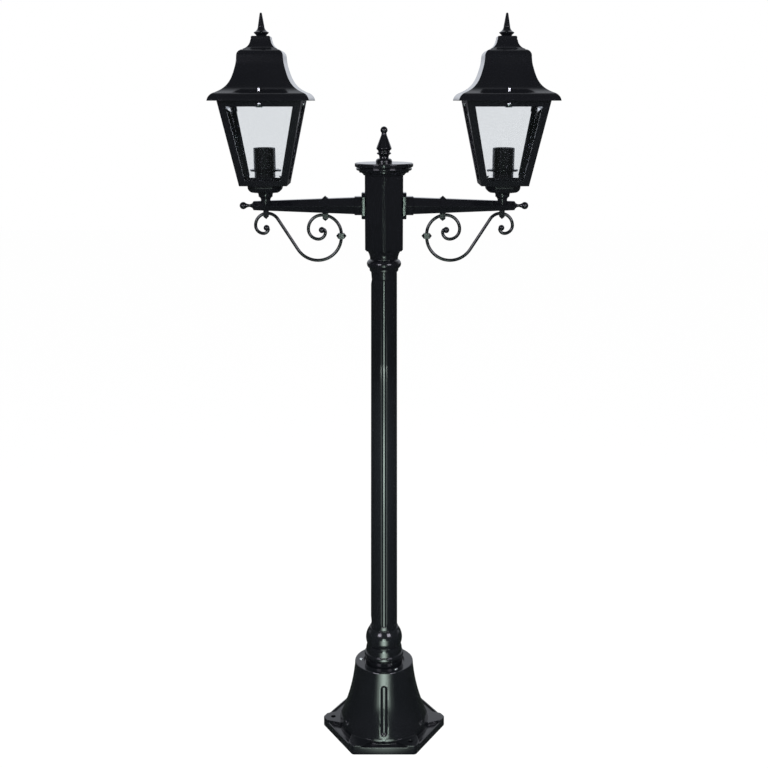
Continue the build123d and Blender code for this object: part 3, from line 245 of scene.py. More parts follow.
def merged_copy(name):
    """A new mesh from a node's triangles, joined, with its flat faces merged."""
    mesh = frame["nodes"][name].data.copy()
    shape = bmesh.new()
    shape.from_mesh(mesh)
    bmesh.ops.remove_doubles(shape, verts=shape.verts, dist=JOIN_REACH)
    bmesh.ops.dissolve_limit(shape, angle_limit=radians(FLAT_TURN), verts=shape.verts, edges=shape.edges)
    shape.to_mesh(mesh)
    shape.free()
    return mesh


def body_name(node_name):
    """The body that a node rides on."""
    for body, members in frame["record"]["behaviour"]["bodies"].items():
        if node_name in members:
            return body
    return "post"


def finish_piece(piece, *node_names):
    """Gives a piece its slot, its body and the nodes that it stands for."""
    piece.data.materials.clear()
    piece.data.materials.append(finishes[slot_of[node_names[0]]])
    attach(piece, body_name(node_names[0]))
    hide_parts(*node_names)


def applied(piece):
    """Turns a piece's modifiers into a plain mesh."""
    graph = bpy.context.evaluated_depsgraph_get()
    mesh = bpy.data.meshes.new_from_object(piece.evaluated_get(graph), preserve_all_data_layers=True,
                                           depsgraph=graph)
    mesh.name = piece.name
    if piece.type == "MESH":
        piece.modifiers.clear()
        piece.data = mesh
        return piece
    plain = bpy.data.objects.new(piece.name, mesh)
    bpy.data.objects.remove(piece)
    bpy.context.scene.collection.objects.link(plain)
    return plain


# %% Rounded copies of the castings
CREASE_TURN = 28.0
SHARP_TURN = 34.0
ROUND_STEPS = 2
FLAT_WEIGHT = 80
EDGE_ROUND = 0.4 * MM
SOFTER_EDGES = {"base_casting": 0.9 * MM}
# The edges of these lie close together, so the bevel stops where two rounds would meet.
CLOSE_EDGED = ("clamp", "knot", "arm_flange", "arm_ball_end")
CASTINGS = ["base_casting", "post_foot", "post_shaft", "post_head", "centre_box", "centre_cap",
            "centre_finial"]
SIDE_CASTINGS = ["arm_flange", "arm", "arm_ball_end", "inner_clamp", "outer_clamp", "scroll_knot",
                 "lantern_stem", "lantern_bowl", "lantern_cage", "roof", "roof_finial", "lampholder",
                 "lampholder_ring"]


def soften(name, radius, clamp):
    """Stands a copy with rounded edges in for a node."""
    piece = bpy.data.objects.new(name + "_cast", merged_copy(name))
    bpy.context.scene.collection.objects.link(piece)
    bevel = piece.modifiers.new("edge round", "BEVEL")
    bevel.width = radius
    bevel.segments = ROUND_STEPS
    bevel.limit_method = "ANGLE"
    bevel.angle_limit = radians(CREASE_TURN)
    bevel.use_clamp_overlap = clamp
    bevel.miter_outer = "MITER_ARC"
    applied(piece)
    piece.data.shade_smooth()
    piece.data.set_sharp_from_angle(angle=radians(SHARP_TURN))
    weighted = piece.modifiers.new("flat faces stay flat", "WEIGHTED_NORMAL")
    weighted.keep_sharp = True
    weighted.weight = FLAT_WEIGHT
    applied(piece)
    finish_piece(piece, name)
    return piece


for side in ("left", "right"):
    CASTINGS += [f"{side}_{name}" for name in SIDE_CASTINGS]
faces = 0
for name in CASTINGS:
    piece = soften(name, SOFTER_EDGES.get(name, EDGE_ROUND), clamp=name.endswith(CLOSE_EDGED))
    faces += len(piece.data.polygons)
print("castings:", len(CASTINGS), "faces:", faces)

# %% [markdown]
# ## A shaft that shades as round
# The tapered shaft is a few long faces round its outside. Where they end at the rings,
# averaged normals bend and the gloss smears. More faces would help, but the true normal
# of a turned shaft is known: it points straight out from the axis, so it is set.

# %% Turn the shaft's normals
OUTWARD_TURN = 12.0


def true_round(piece):
    """Points the normals of a tube's outside straight out from the post's axis."""
    mesh = piece.data
    normals = [Vector(corner.vector) for corner in mesh.corner_normals]
    turned = 0
    for face in mesh.polygons:
        for loop in face.loop_indices:
            spot = mesh.vertices[mesh.loops[loop].vertex_index].co
            out = Vector((spot.x, spot.y, 0.0)).normalized()
            if face.normal.angle(out, pi) < radians(OUTWARD_TURN):
                normals[loop] = out
                turned += 1
    mesh.normals_split_custom_set(normals)
    return turned


print("shaft normals:", true_round(bpy.data.objects["post_shaft_cast"]))

# %% [markdown]
# ## The scrolls
# Each scroll is one 6 mm rod, bent cold round a former: a hook, three quarter turns that
# open outwards, a shoulder, a belly and a straight run into a smaller curl. Points set by
# hand would leave bumps that the gloss shows. Its shape follows a rule, arcs that meet
# without a kink, so the route is worked out from their radii, in millimetres.

# %% The scroll's route
ARM_AXIS = 1075.5
# How far under the arm's axis the tops of the two curls lie.
LARGE_DROP, SMALL_DROP = 17.3, 14.2
LARGE_TOP = (114.3, ARM_AXIS - LARGE_DROP)
LARGE_RADII = (26.0, 18.5, 13.0)
SMALL_TOP = (215.5, ARM_AXIS - SMALL_DROP)
SMALL_RADII = (22.5, 14.5, 9.0)
HOOK_RADIUS = 6.0
HOOK_SWEEP = 60.0
SHOULDER_RADIUS = 35.0
BELLY_RADIUS = 44.0
STRAIGHT = 5.0
ROUTE_STEP = 0.4


def quarter_centres(top, radii):
    """Centres of quarter arcs that wind inwards from a top point."""
    x, z = top[0], top[1] - radii[0]
    centres = [(x, z)]
    for step, (before, after) in enumerate(zip(radii, radii[1:])):
        if step % 2 == 0:
            x += before - after
        else:
            z -= before - after
        centres.append((x, z))
    return centres


def arc_points(centre, radius, start, sweep):
    """Points along an arc in the XZ plane. Angles in degrees."""
    count = max(2, int(abs(radians(sweep)) * radius / ROUTE_STEP))
    turns = [radians(start + sweep * i / count) for i in range(count + 1)]
    return [(centre[0] + radius * cos(t), centre[1] + radius * sin(t)) for t in turns]


large_centres = quarter_centres(LARGE_TOP, LARGE_RADII)
small_centres = quarter_centres(SMALL_TOP, SMALL_RADII)
hook_centre = (large_centres[-1][0] - LARGE_RADII[-1] + HOOK_RADIUS, large_centres[-1][1])
shoulder_centre = (LARGE_TOP[0], LARGE_TOP[1] - SHOULDER_RADIUS)
knot_reach = LARGE_TOP[0] - SHOULDER_RADIUS
belly_centre = (knot_reach + BELLY_RADIUS, shoulder_centre[1] - STRAIGHT)
across = (small_centres[0][0] - belly_centre[0], small_centres[0][1] - belly_centre[1])
run_turn = degrees(atan2(across[1], across[0]) + asin((BELLY_RADIUS + SMALL_RADII[0]) / hypot(*across)))
route = arc_points(hook_centre, HOOK_RADIUS, 180.0 - HOOK_SWEEP, HOOK_SWEEP)
for turn in (2, 1, 0):
    route += arc_points(large_centres[turn], LARGE_RADII[turn], -90.0 * turn, 90.0)[1:]
route += arc_points(shoulder_centre, SHOULDER_RADIUS, 90.0, 90.0)[1:]
route += arc_points(belly_centre, BELLY_RADIUS, 180.0, 90.0 + run_turn)
route += arc_points(small_centres[0], SMALL_RADII[0], 90.0 + run_turn, -90.0 - run_turn)
for turn in (1, 2):
    route += arc_points(small_centres[turn], SMALL_RADII[turn], 90.0 - 90.0 * turn, -90.0)[1:]
print("points along a scroll:", len(route))

# %% [markdown]
# ## Geometry Nodes from a script
# A Geometry Nodes tree is a recipe with named sizes. A modifier runs it on an object, and
# then the result is kept as plain mesh, because the export drops what is only instanced.


# %% A Geometry Nodes tree, and a modifier that runs it
def new_tree(name, sizes):
    """A tree with one geometry input, named number inputs and one geometry output."""
    tree = bpy.data.node_groups.new(name, "GeometryNodeTree")
    tree.interface.new_socket(name="Geometry", in_out="INPUT", socket_type="NodeSocketGeometry")
    for size in sizes:
        tree.interface.new_socket(name=size, in_out="INPUT", socket_type="NodeSocketFloat")
    tree.interface.new_socket(name="Geometry", in_out="OUTPUT", socket_type="NodeSocketGeometry")
    return tree, tree.nodes.new("NodeGroupInput"), tree.nodes.new("NodeGroupOutput")


def run_tree(piece, tree, sizes):
    """Runs a tree on a piece with its sizes in metres, and keeps the result as plain mesh."""
    modifier = piece.modifiers.new(tree.name, "NODES")
    modifier.node_group = tree
    for socket in tree.interface.items_tree:
        if socket.in_out == "INPUT" and socket.name in sizes:
            modifier[socket.identifier] = sizes[socket.name]
    return applied(piece)


# %% [markdown]
# ## Sweep the rods
# The tree evens out the points of the route and sweeps a circle along it. A curve's own
# bevel would do that too, but its spacing follows the points it is given. Each end of the
# real rod is upset and forged into a round eye, so a ball sits on each end.

# %% The two rods with their eyes
ROD_RADIUS = 3.0
ROD_SIDES = 28
ROD_STEP = 1.2
EYE_SIDES, EYE_RINGS = 28, 16
# How far each eye's middle lies from the centre of the rod's last arc, and its radius.
LARGE_EYE = (0.6, 3.9, 5.8)
SMALL_EYE = (-5.7, 1.3, 5.6)
eyes = [(centre[0] + eye[0], centre[1] + eye[1], eye[2])
        for centre, eye in ((hook_centre, LARGE_EYE), (small_centres[-1], SMALL_EYE))]
rod_tree, given, result = new_tree("bent_rod", ["Rod radius", "Spacing"])
even = add_node(rod_tree, "GeometryNodeResampleCurve", {"mode": "LENGTH"},
                Curve=given.outputs["Geometry"], Length=given.outputs["Spacing"])
section = add_node(rod_tree, "GeometryNodeCurvePrimitiveCircle", Resolution=ROD_SIDES,
                   Radius=given.outputs["Rod radius"])
swept = add_node(rod_tree, "GeometryNodeCurveToMesh", Curve=even.outputs[0],
                 Profile__Curve=section.outputs[0], Fill__Caps=True)
whole = add_node(rod_tree, "GeometryNodeRealizeInstances", Geometry=swept.outputs[0])
coated = add_node(rod_tree, "GeometryNodeSetMaterial", Geometry=whole.outputs[0], Material=black_coat)
rod_tree.links.new(coated.outputs[0], result.inputs[0])
for side, sign in (("left", -1.0), ("right", 1.0)):
    line = bpy.data.curves.new(f"{side}_scroll_rod", "CURVE")
    line.dimensions = "3D"
    spline = line.splines.new("POLY")
    spline.points.add(len(route) - 1)
    for point, (x, z) in zip(spline.points, route):
        point.co = (sign * x * MM, 0.0, z * MM, 1.0)
    rod = bpy.data.objects.new(f"{side}_scroll_rod", line)
    bpy.context.scene.collection.objects.link(rod)
    rod = run_tree(rod, rod_tree, {"Rod radius": ROD_RADIUS * MM, "Spacing": ROD_STEP * MM})
    shape = bmesh.new()
    shape.from_mesh(rod.data)
    for x, z, radius in eyes:
        bmesh.ops.create_uvsphere(shape, u_segments=EYE_SIDES, v_segments=EYE_RINGS, radius=radius * MM,
                                  matrix=Matrix.Translation((sign * x * MM, 0.0, z * MM)))
    bmesh.ops.recalc_face_normals(shape, faces=shape.faces)
    shape.to_mesh(rod.data)
    shape.free()
    rod.data.shade_smooth()
    finish_piece(rod, f"{side}_scroll")
    print(rod.name, len(rod.data.polygons))

# %% [markdown]
# ## Screws and dome nuts
# The same small fasteners repeat all over the light: slotted pan heads on the rim and on
# the lanterns' rails, and dome nuts that hold each roof down. Copies made by hand would
# each need turning. Instead each kind is modelled once inside a Geometry Nodes tree and
# set on points that carry the way they face.


# %% Points that face a way
def facing_points(name, spots):
    """A mesh of single points with the way each one faces."""
    mesh = bpy.data.meshes.new(name)
    mesh.from_pydata([spot for spot, _ in spots], [], [])
    facing = mesh.attributes.new("facing", "FLOAT_VECTOR", "POINT")
    for i, (_, way) in enumerate(spots):
        facing.data[i].vector = way
    piece = bpy.data.objects.new(name, mesh)
    bpy.context.scene.collection.objects.link(piece)
    return piece


def set_on_points(tree, given, result, made, finish):
    """Ends a tree: the made fastener on each point, turned to its way, realized and finished."""
    way = add_node(tree, "GeometryNodeInputNamedAttribute", {"data_type": "FLOAT_VECTOR"}, Name="facing")
    turned = add_node(tree, "FunctionNodeAlignRotationToVector", {"axis": "Z"},
                      Vector=way.outputs["Attribute"])
    spread = add_node(tree, "GeometryNodeInstanceOnPoints", Points=given.outputs["Geometry"],
                      Instance=made, Rotation=turned.outputs[0])
    whole = add_node(tree, "GeometryNodeRealizeInstances", Geometry=spread.outputs[0])
    coated = add_node(tree, "GeometryNodeSetMaterial", Geometry=whole.outputs[0], Material=finish)
    tree.links.new(coated.outputs[0], result.inputs[0])


def stretched(tree, shape, x, y, z, factors=(1.0, 1.0, 1.0), lift=0.0):
    """A unit shape scaled to sizes from sockets, each times its factor, and lifted."""
    size = add_node(tree, "ShaderNodeCombineXYZ", X=x, Y=y, Z=z)
    scale = add_node(tree, "ShaderNodeVectorMath", {"operation": "MULTIPLY"}, _0=size.outputs[0], _1=factors)
    up = add_node(tree, "ShaderNodeCombineXYZ", Z=lift)
    return add_node(tree, "GeometryNodeTransform", Geometry=shape.outputs[0], Translation=up.outputs[0],
                    Scale=scale.outputs[0]).outputs[0]


# %% [markdown]
# ## A slotted pan head screw
# The head of a real one is pressed: a low dome with an upright rim, and a sawn slot. So a
# flat ball is cut off by a disc, and a blade is cut out of both. Each shape below reaches
# 1 from its middle, and the tree's named sizes stretch it.

# %% The screw's tree
SCREW_SIDES, SCREW_RINGS = 32, 24
CROWN_WIDTH = 1.06
SLOT_OVERRUN = 1.2
screw_tree, given, result = new_tree("slotted_pan_head", ["Head radius", "Head height", "Slot width",
                                                         "Slot depth", "Shank radius", "Shank length"])
ball = add_node(screw_tree, "GeometryNodeMeshUVSphere", Segments=SCREW_SIDES, Rings=SCREW_RINGS, Radius=1.0)
disc = add_node(screw_tree, "GeometryNodeMeshCylinder", Vertices=SCREW_SIDES, Radius=1.0, Depth=2.0)
block = add_node(screw_tree, "GeometryNodeMeshCube", Size=(2.0, 2.0, 2.0))
radius, height = given.outputs["Head radius"], given.outputs["Head height"]
half_height = add_node(screw_tree, "ShaderNodeMath", {"operation": "MULTIPLY"}, _0=height, _1=0.5).outputs[0]
crown = stretched(screw_tree, ball, radius, radius, height, factors=(CROWN_WIDTH, CROWN_WIDTH, 1.0))
wall = stretched(screw_tree, disc, radius, radius, half_height, lift=half_height)
blade = stretched(screw_tree, block, radius, given.outputs["Slot width"], given.outputs["Slot depth"],
                  factors=(SLOT_OVERRUN, 0.5, 1.0), lift=height)
head = add_node(screw_tree, "GeometryNodeMeshBoolean", {"operation": "INTERSECT"})
for shape in (crown, wall):
    screw_tree.links.new(shape, head.inputs["Mesh 2"])
slotted = add_node(screw_tree, "GeometryNodeMeshBoolean", {"operation": "DIFFERENCE"},
                   Mesh__1=head.outputs[0], Mesh__2=blade)
shank_radius, shank_length = given.outputs["Shank radius"], given.outputs["Shank length"]
half_down = add_node(screw_tree, "ShaderNodeMath", {"operation": "MULTIPLY"}, _0=shank_length, _1=-0.5)
shank = stretched(screw_tree, disc, shank_radius, shank_radius, shank_length, factors=(1.0, 1.0, 0.5),
                  lift=half_down.outputs[0])
screw = add_node(screw_tree, "GeometryNodeJoinGeometry")
for shape in (slotted.outputs[0], shank):
    screw_tree.links.new(shape, screw.inputs[0])
set_on_points(screw_tree, given, result, screw.outputs[0], zinc)
print("tree:", screw_tree.name)

# %% [markdown]
# ## A dome nut
# A dome nut is turned from hexagon bar: a flat ball rounds off the hexagon's corners, as
# the lathe does, and a barrel with a ball on top makes the closed dome.

# %% The nut's tree
NUT_SIDES, NUT_RINGS = 36, 24
CHAMFER_WIDTH, CHAMFER_HEIGHT = 1.08, 2.0
nut_tree, given, result = new_tree("dome_nut", ["Across flats", "Hexagon height", "Dome radius", "Height"])
hexagon = add_node(nut_tree, "GeometryNodeMeshCylinder", Vertices=6, Radius=1.0, Depth=2.0)
ball = add_node(nut_tree, "GeometryNodeMeshUVSphere", Segments=NUT_SIDES, Rings=NUT_RINGS, Radius=1.0)
disc = add_node(nut_tree, "GeometryNodeMeshCylinder", Vertices=NUT_SIDES, Radius=1.0, Depth=2.0)
hexagon_height, dome_radius = given.outputs["Hexagon height"], given.outputs["Dome radius"]
corner = add_node(nut_tree, "ShaderNodeMath", {"operation": "MULTIPLY"}, _0=given.outputs["Across flats"],
                  _1=0.5 / cos(pi / 6)).outputs[0]
half_hexagon = add_node(nut_tree, "ShaderNodeMath", {"operation": "MULTIPLY"}, _0=hexagon_height,
                        _1=0.5).outputs[0]
rise = add_node(nut_tree, "ShaderNodeMath", {"operation": "SUBTRACT"}, _0=given.outputs["Height"],
                _1=dome_radius).outputs[0]
half_rise = add_node(nut_tree, "ShaderNodeMath", {"operation": "MULTIPLY"}, _0=rise, _1=0.5).outputs[0]
prism = stretched(nut_tree, hexagon, corner, corner, half_hexagon, lift=half_hexagon)
chamfer = stretched(nut_tree, ball, corner, corner, hexagon_height,
                    factors=(CHAMFER_WIDTH, CHAMFER_WIDTH, CHAMFER_HEIGHT))
dome = stretched(nut_tree, ball, dome_radius, dome_radius, dome_radius, lift=rise)
barrel = stretched(nut_tree, disc, dome_radius, dome_radius, half_rise, lift=half_rise)
faced = add_node(nut_tree, "GeometryNodeMeshBoolean", {"operation": "INTERSECT"})
for shape in (prism, chamfer):
    nut_tree.links.new(shape, faced.inputs["Mesh 2"])
nut = add_node(nut_tree, "GeometryNodeMeshBoolean", {"operation": "UNION"})
for shape in (faced.outputs[0], dome, barrel):
    nut_tree.links.new(shape, nut.inputs["Mesh 2"])
set_on_points(nut_tree, given, result, nut.outputs[0], zinc)
print("tree:", nut_tree.name)

# %% [markdown]
# ## Where the fasteners sit
# Three screws hold the rim down on the base. Each lantern has a screw in the middle of
# each top rail, square to the sloping bar, and two dome nuts on the studs that come up
# through the roof. Their places are those of the holes in the castings, in millimetres.

# %% Set the fasteners
LANTERN_REACH = 218.0
CAGE_FOOT, CAGE_HALF_WIDTH = 1113.7, 43.0
CAGE_FLARE, CAGE_RISE = 30.5, 149.3
LEAN = atan2(CAGE_FLARE, CAGE_RISE)
RAIL_SCREW_HEIGHT = 1257.0
RAIL_SCREW_REACH = CAGE_HALF_WIDTH + (RAIL_SCREW_HEIGHT - CAGE_FOOT) * CAGE_FLARE / CAGE_RISE
STUD_REACH = 68.0
NUT_FOOT = 1278.5
RIM_SCREW_TURNS = (180.0, 60.0, -60.0)
RIM_SCREW_REACH, RIM_TOP = 47.0, 151.0
HARDWARE_SHARP_TURN = 35
UP = (0.0, 0.0, 1.0)
RIM_SCREW = {"Head radius": 3.6, "Head height": 1.8, "Slot width": 1.0, "Slot depth": 0.8,
             "Shank radius": 2.0, "Shank length": 9.0}
RAIL_SCREW = {"Head radius": 3.2, "Head height": 1.7, "Slot width": 1.0, "Slot depth": 0.8,
              "Shank radius": 1.25, "Shank length": 4.64}
DOME_NUT = {"Across flats": 7.0, "Hexagon height": 3.2, "Dome radius": 3.2, "Height": 8.0}


def fasteners(name, spots, tree, sizes, *node_names):
    """Fasteners of one kind on their spots, in millimetres, standing in for nodes."""
    piece = facing_points(name, [(Vector(spot) * MM, way) for spot, way in spots])
    piece = run_tree(piece, tree, {key: size * MM for key, size in sizes.items()})
    piece.data.shade_smooth()
    piece.data.set_sharp_from_angle(angle=radians(HARDWARE_SHARP_TURN))
    finish_piece(piece, *node_names)
    print(name, len(piece.data.polygons))


rim_spots = []
for turn in RIM_SCREW_TURNS:
    spot = (RIM_SCREW_REACH * cos(radians(turn)), RIM_SCREW_REACH * sin(radians(turn)), RIM_TOP)
    rim_spots.append((spot, UP))
fasteners("rim_screws", rim_spots, screw_tree, RIM_SCREW, "base_rim_screws")
for side, sign in (("left", -1.0), ("right", 1.0)):
    middle = sign * LANTERN_REACH
    rail_spots = []
    for turn in range(4):
        out = (cos(turn * pi / 2), sin(turn * pi / 2))
        spot = (middle + RAIL_SCREW_REACH * out[0], RAIL_SCREW_REACH * out[1], RAIL_SCREW_HEIGHT)
        rail_spots.append((spot, (out[0] * cos(LEAN), out[1] * cos(LEAN), -sin(LEAN))))
    fasteners(f"{side}_rail_screw_set", rail_spots, screw_tree, RAIL_SCREW, f"{side}_rail_screws")
    nut_spots = [((middle, y, NUT_FOOT), UP) for y in (-STUD_REACH, STUD_REACH)]
    fasteners(f"{side}_dome_nuts", nut_spots, nut_tree, DOME_NUT, f"{side}_roof_nuts")

# %% [markdown]
# ## Which rays see what
# The photograph is a cut-out on white, but its black gloss mirrors a room that is bright
# behind the object and dark on the camera's side. A studio would do that with black and
# white cards. Here the Light Path node does it, because it tells what kind of ray looks
# at a surface. One mask picks out the rays that draw the picture's background, and the
# other one the rays that left a shiny surface.


# %% Masks for rays
def view_rays(tree):
    """1 for rays that come from the camera, straight or through panes, 0 for the others."""
    path = add_node(tree, "ShaderNodeLightPath")
    unmirrored = add_node(tree, "ShaderNodeMath", {"operation": "LESS_THAN"},
                          _0=path.outputs["Glossy Depth"], _1=0.5)
    glazed = add_node(tree, "ShaderNodeMath", {"operation": "MULTIPLY"}, _0=unmirrored.outputs[0],
                      _1=path.outputs["Is Transmission Ray"])
    return add_node(tree, "ShaderNodeMath", {"operation": "MAXIMUM"}, _0=glazed.outputs[0],
                    _1=path.outputs["Is Camera Ray"]).outputs[0]


def mirror_rays(tree):
    """1 for rays that left a shiny surface or passed a pane, 0 for the others."""
    path = add_node(tree, "ShaderNodeLightPath")
    return add_node(tree, "ShaderNodeMath", {"operation": "MAXIMUM"}, _0=path.outputs["Is Glossy Ray"],
                    _1=path.outputs["Is Transmission Ray"]).outputs[0]


# %% [markdown]
# ## The floor
# The floor is a pale matt plane. Stronger lamps could turn it white, but they would wash
# out the black gloss too. So to the camera nine tenths of it is an even white glow, and
# the last tenth is the lit plane, which keeps the object's soft shadow.

# %% A white floor with a soft shadow
FLOOR_SIZE = 18.0
WHITE_SHARE = 0.9
# A little over 1, because the lit tenth is a little under white.
WHITE_LEVEL = 1.03
floor_mesh = bpy.data.meshes.new("floor")
half = FLOOR_SIZE / 2
corners = [(-half, -half, 0), (half, -half, 0), (half, half, 0), (-half, half, 0)]
floor_mesh.from_pydata(corners, [], [(0, 1, 2, 3)])
floor = bpy.data.objects.new("floor", floor_mesh)
bpy.context.scene.collection.objects.link(floor)
floor_finish, tree, output = new_material("pale_floor")
floor_matt = add_node(tree, "ShaderNodeBsdfDiffuse", Color=linear("#F0F0F0"))
floor_white = add_node(tree, "ShaderNodeEmission", Color=linear("#FFFFFF"), Strength=WHITE_LEVEL)
floor_seen = add_node(tree, "ShaderNodeMixShader", _0=WHITE_SHARE, _1=floor_matt.outputs[0],
                      _2=floor_white.outputs[0])
print("floor:", FLOOR_SIZE, "m across")

# %% [markdown]
# ## The strip of floor that the gloss mirrors
# In the photograph a soft line runs down the bell and the post, as from a lit strip of
# floor in front of the light. A panel lamp there would show as well in the flat flanges
# and cage bars. So the strip is a glow that only reflections see, and it shines low
# across the floor, as a hooded lamp does. It widens away from the light and narrows again
# some metres out, fades to its sides as a bell curve does, and stops just before the foot.

# %% Where the floor glows in reflections
GLOW_LEVEL = 11.0
DARK_LEVEL = 0.05
# Half its width over its distance, and how far in front of the post it narrows.
GLOW_SPREADS, SPREAD_REACHES = (0.29, 0.03), (-3.4, -4.6)
# How steep a ray may be and still see it, near and far, as the rise of a step of 1.
GLOW_SLANTS, SLANT_REACHES = (0.66, 0.33), (-0.5, -2.2)
GLOW_FADE = 0.08
FOOT_REACHES = (-0.11, -0.19)
place = add_node(tree, "ShaderNodeSeparateXYZ", Vector=add_node(tree, "ShaderNodeTexCoord").outputs["Object"])
spread = add_node(tree, "ShaderNodeMapRange", Value=place.outputs["Y"], From__Min=SPREAD_REACHES[0],
                  From__Max=SPREAD_REACHES[1], To__Min=GLOW_SPREADS[0], To__Max=GLOW_SPREADS[1])
ahead = add_node(tree, "ShaderNodeMath", {"operation": "MULTIPLY"}, _0=place.outputs["Y"],
                 _1=spread.outputs[0])
aside = add_node(tree, "ShaderNodeMath", {"operation": "DIVIDE"}, _0=place.outputs["X"],
                 _1=ahead.outputs[0])
square = add_node(tree, "ShaderNodeMath", {"operation": "MULTIPLY"}, _0=aside.outputs[0],
                  _1=aside.outputs[0])
minus = add_node(tree, "ShaderNodeMath", {"operation": "MULTIPLY"}, _0=square.outputs[0], _1=-1.0)
falloff = add_node(tree, "ShaderNodeMath", {"operation": "EXPONENT"}, _0=minus.outputs[0])
before_foot = add_node(tree, "ShaderNodeMapRange", Value=place.outputs["Y"], From__Min=FOOT_REACHES[0],
                       From__Max=FOOT_REACHES[1])
# The way that a ray comes in counts, as with a hooded lamp, and not where the camera stands.
ray_way = add_node(tree, "ShaderNodeNewGeometry").outputs["Incoming"]
slant = add_node(tree, "ShaderNodeSeparateXYZ", Vector=ray_way)
steepest = add_node(tree, "ShaderNodeMapRange", Value=place.outputs["Y"], From__Min=SLANT_REACHES[0],
                    From__Max=SLANT_REACHES[1], To__Min=GLOW_SLANTS[0], To__Max=GLOW_SLANTS[1])
fading = add_node(tree, "ShaderNodeMath", {"operation": "SUBTRACT"}, _0=steepest.outputs[0], _1=GLOW_FADE)
low = add_node(tree, "ShaderNodeMapRange", Value=slant.outputs["Z"], From__Min=steepest.outputs[0],
               From__Max=fading.outputs[0])
masked = add_node(tree, "ShaderNodeMath", {"operation": "MULTIPLY"}, _0=low.outputs[0],
                  _1=before_foot.outputs[0])
glow = add_node(tree, "ShaderNodeMath", {"operation": "MULTIPLY"}, _0=falloff.outputs[0],
                _1=masked.outputs[0])
level = add_node(tree, "ShaderNodeMapRange", Value=glow.outputs[0], To__Min=DARK_LEVEL, To__Max=GLOW_LEVEL)
print("floor glow in reflections:", DARK_LEVEL, "to", GLOW_LEVEL)

# %% What each ray sees of the floor
floor_mirrored = add_node(tree, "ShaderNodeEmission", Color=linear("#DDF2E6"), Strength=level.outputs[0])
floor_lit = add_node(tree, "ShaderNodeMixShader", _0=mirror_rays(tree), _1=floor_matt.outputs[0],
                     _2=floor_mirrored.outputs[0])
floor_all = add_node(tree, "ShaderNodeMixShader", _0=view_rays(tree), _1=floor_lit.outputs[0],
                     _2=floor_seen.outputs[0])
tree.links.new(floor_all.outputs[0], output.inputs["Surface"])
floor.data.materials.append(floor_finish)
print("made", floor_finish.name)

# %% [markdown]
# ## The world
# The world is white to the camera and through glass, and an even pale grey as a source of
# light. In reflections it runs from dark in front to nearly white behind, and the bright
# part starts at the skyline. A picture of a room could do that too, but the direction of
# a ray is all that is needed.

# %% World
BACK_REACHES, BACK_LEVEL = (0.1, 0.8), 0.93
SKYLINE = (-0.02, 0.07)
FRONT_LEVEL = 0.07
ROOM_LEVEL = 0.75
world = bpy.data.worlds.new("studio")
world.use_nodes = True
bpy.context.scene.world = world
tree = world.node_tree
tree.nodes.clear()
sky = add_node(tree, "ShaderNodeTexCoord").outputs["Generated"]
way = add_node(tree, "ShaderNodeSeparateXYZ", Vector=sky)
depth = add_node(tree, "ShaderNodeMapRange", {"interpolation_type": "SMOOTHSTEP"}, Value=way.outputs["Y"],
                 From__Min=BACK_REACHES[0], From__Max=BACK_REACHES[1], To__Min=0.0, To__Max=BACK_LEVEL)
rise = add_node(tree, "ShaderNodeMapRange", {"interpolation_type": "SMOOTHSTEP"}, Value=way.outputs["Z"],
                From__Min=SKYLINE[0], From__Max=SKYLINE[1], To__Min=0.0, To__Max=1.0)
glazed = add_node(tree, "ShaderNodeLightPath").outputs["Transmission Depth"]
open_back = add_node(tree, "ShaderNodeMath", {"operation": "MAXIMUM", "use_clamp": True}, _0=rise.outputs[0],
                     _1=glazed)
behind = add_node(tree, "ShaderNodeMath", {"operation": "MULTIPLY"}, _0=depth.outputs[0],
                  _1=open_back.outputs[0])
mirror_level = add_node(tree, "ShaderNodeMath", {"operation": "ADD"}, _0=behind.outputs[0], _1=FRONT_LEVEL)
room = add_node(tree, "ShaderNodeBackground", Color=linear("#FFFFFF"), Strength=ROOM_LEVEL)
mirrored = add_node(tree, "ShaderNodeBackground", Color=linear("#F2F6FF"), Strength=mirror_level.outputs[0])
white = add_node(tree, "ShaderNodeBackground", Color=linear("#FFFFFF"), Strength=1.0)
lit = add_node(tree, "ShaderNodeMixShader", _0=mirror_rays(tree), _1=room.outputs[0], _2=mirrored.outputs[0])
both = add_node(tree, "ShaderNodeMixShader", _0=view_rays(tree), _1=lit.outputs[0], _2=white.outputs[0])
world_output = tree.nodes.new("ShaderNodeOutputWorld")
tree.links.new(both.outputs[0], world_output.inputs["Surface"])
print("world:", world.name)

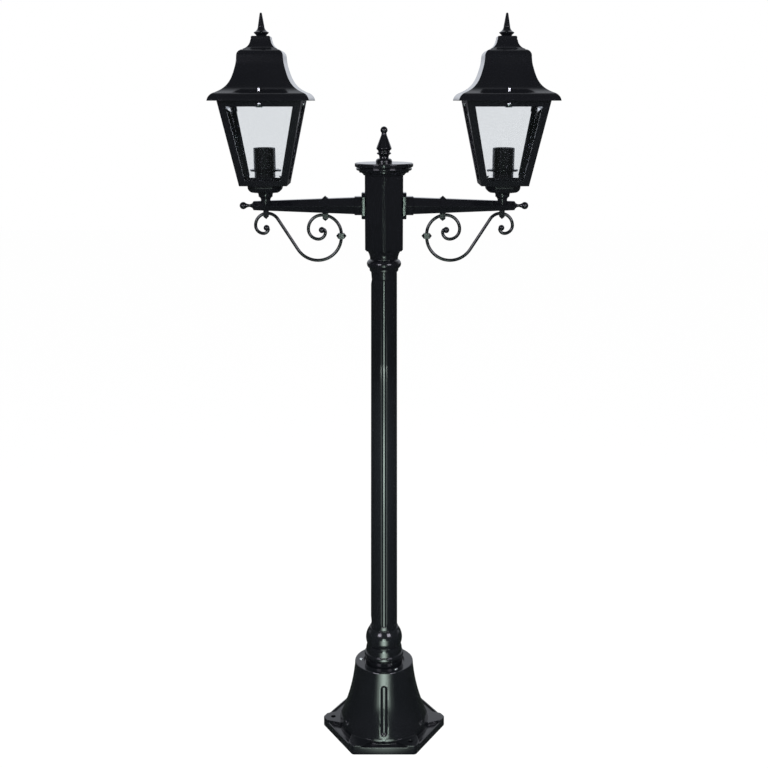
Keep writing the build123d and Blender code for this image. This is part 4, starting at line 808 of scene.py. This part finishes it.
# %% [markdown]
# ## The lamps
# The lamps are few and weak, since gloss shows every one of them. Two soft boxes beside
# and above the camera draw the paired spots on each turned shape. A narrow upright panel
# far in front, faintly green, draws the long lines down the flutes. Two small panels
# light the foot. The one overhead only fills in, and is hidden from reflections, which
# would show it as a grey sheet. Rays through glass don't see the lamps, because they
# would catch them as bright specks.

# %% Soft boxes
MIDDLE = (0.0, 0.0, 0.7)


def soft_box(name, azimuth, rise, distance, size, power, colour="#FFFFFF", target=MIDDLE):
    """A rectangular lamp that faces a point, at an angle to the right of the camera's side."""
    lamp = bpy.data.lights.new(name, "AREA")
    lamp.shape = "RECTANGLE"
    lamp.size, lamp.size_y = size
    lamp.energy = power
    lamp.color = linear(colour)[:3]
    holder = bpy.data.objects.new(name, lamp)
    turn, lift = radians(azimuth), radians(rise)
    away = Vector((sin(turn) * cos(lift), -cos(turn) * cos(lift), sin(lift)))
    holder.location = Vector(target) + away * distance
    holder.rotation_euler = (-away).to_track_quat("-Z", "Y").to_euler()
    holder.visible_camera = False
    holder.visible_transmission = False
    bpy.context.scene.collection.objects.link(holder)
    return holder


soft_box("upper_left_box", azimuth=-32.0, rise=22.0, distance=2.6, size=(0.95, 0.8), power=24.0,
         colour="#F4F0FF")
soft_box("upper_right_box", azimuth=36.0, rise=22.0, distance=2.6, size=(0.95, 0.8), power=24.0,
         colour="#F4F0FF")
soft_box("low_panel", azimuth=-0.3, rise=0.0, distance=4.0, size=(0.11, 1.0), power=9.0,
         colour="#D2EEDF", target=(0.0, 0.0, 0.63))
soft_box("foot_box", azimuth=0.0, rise=74.0, distance=0.7, size=(0.3, 0.16), power=3.2,
         colour="#E4F2EA", target=(0.0, -0.1, 0.03))
soft_box("foot_panel", azimuth=0.0, rise=0.0, distance=1.0, size=(0.36, 0.26), power=2.4,
         colour="#D8EEE2", target=(0.0, 0.0, 0.25))
top_box = soft_box("top_box", azimuth=10.0, rise=78.0, distance=2.6, size=(1.2, 1.0), power=9.0)
top_box.visible_glossy = False
bpy.context.scene.view_settings.view_transform = "Standard"
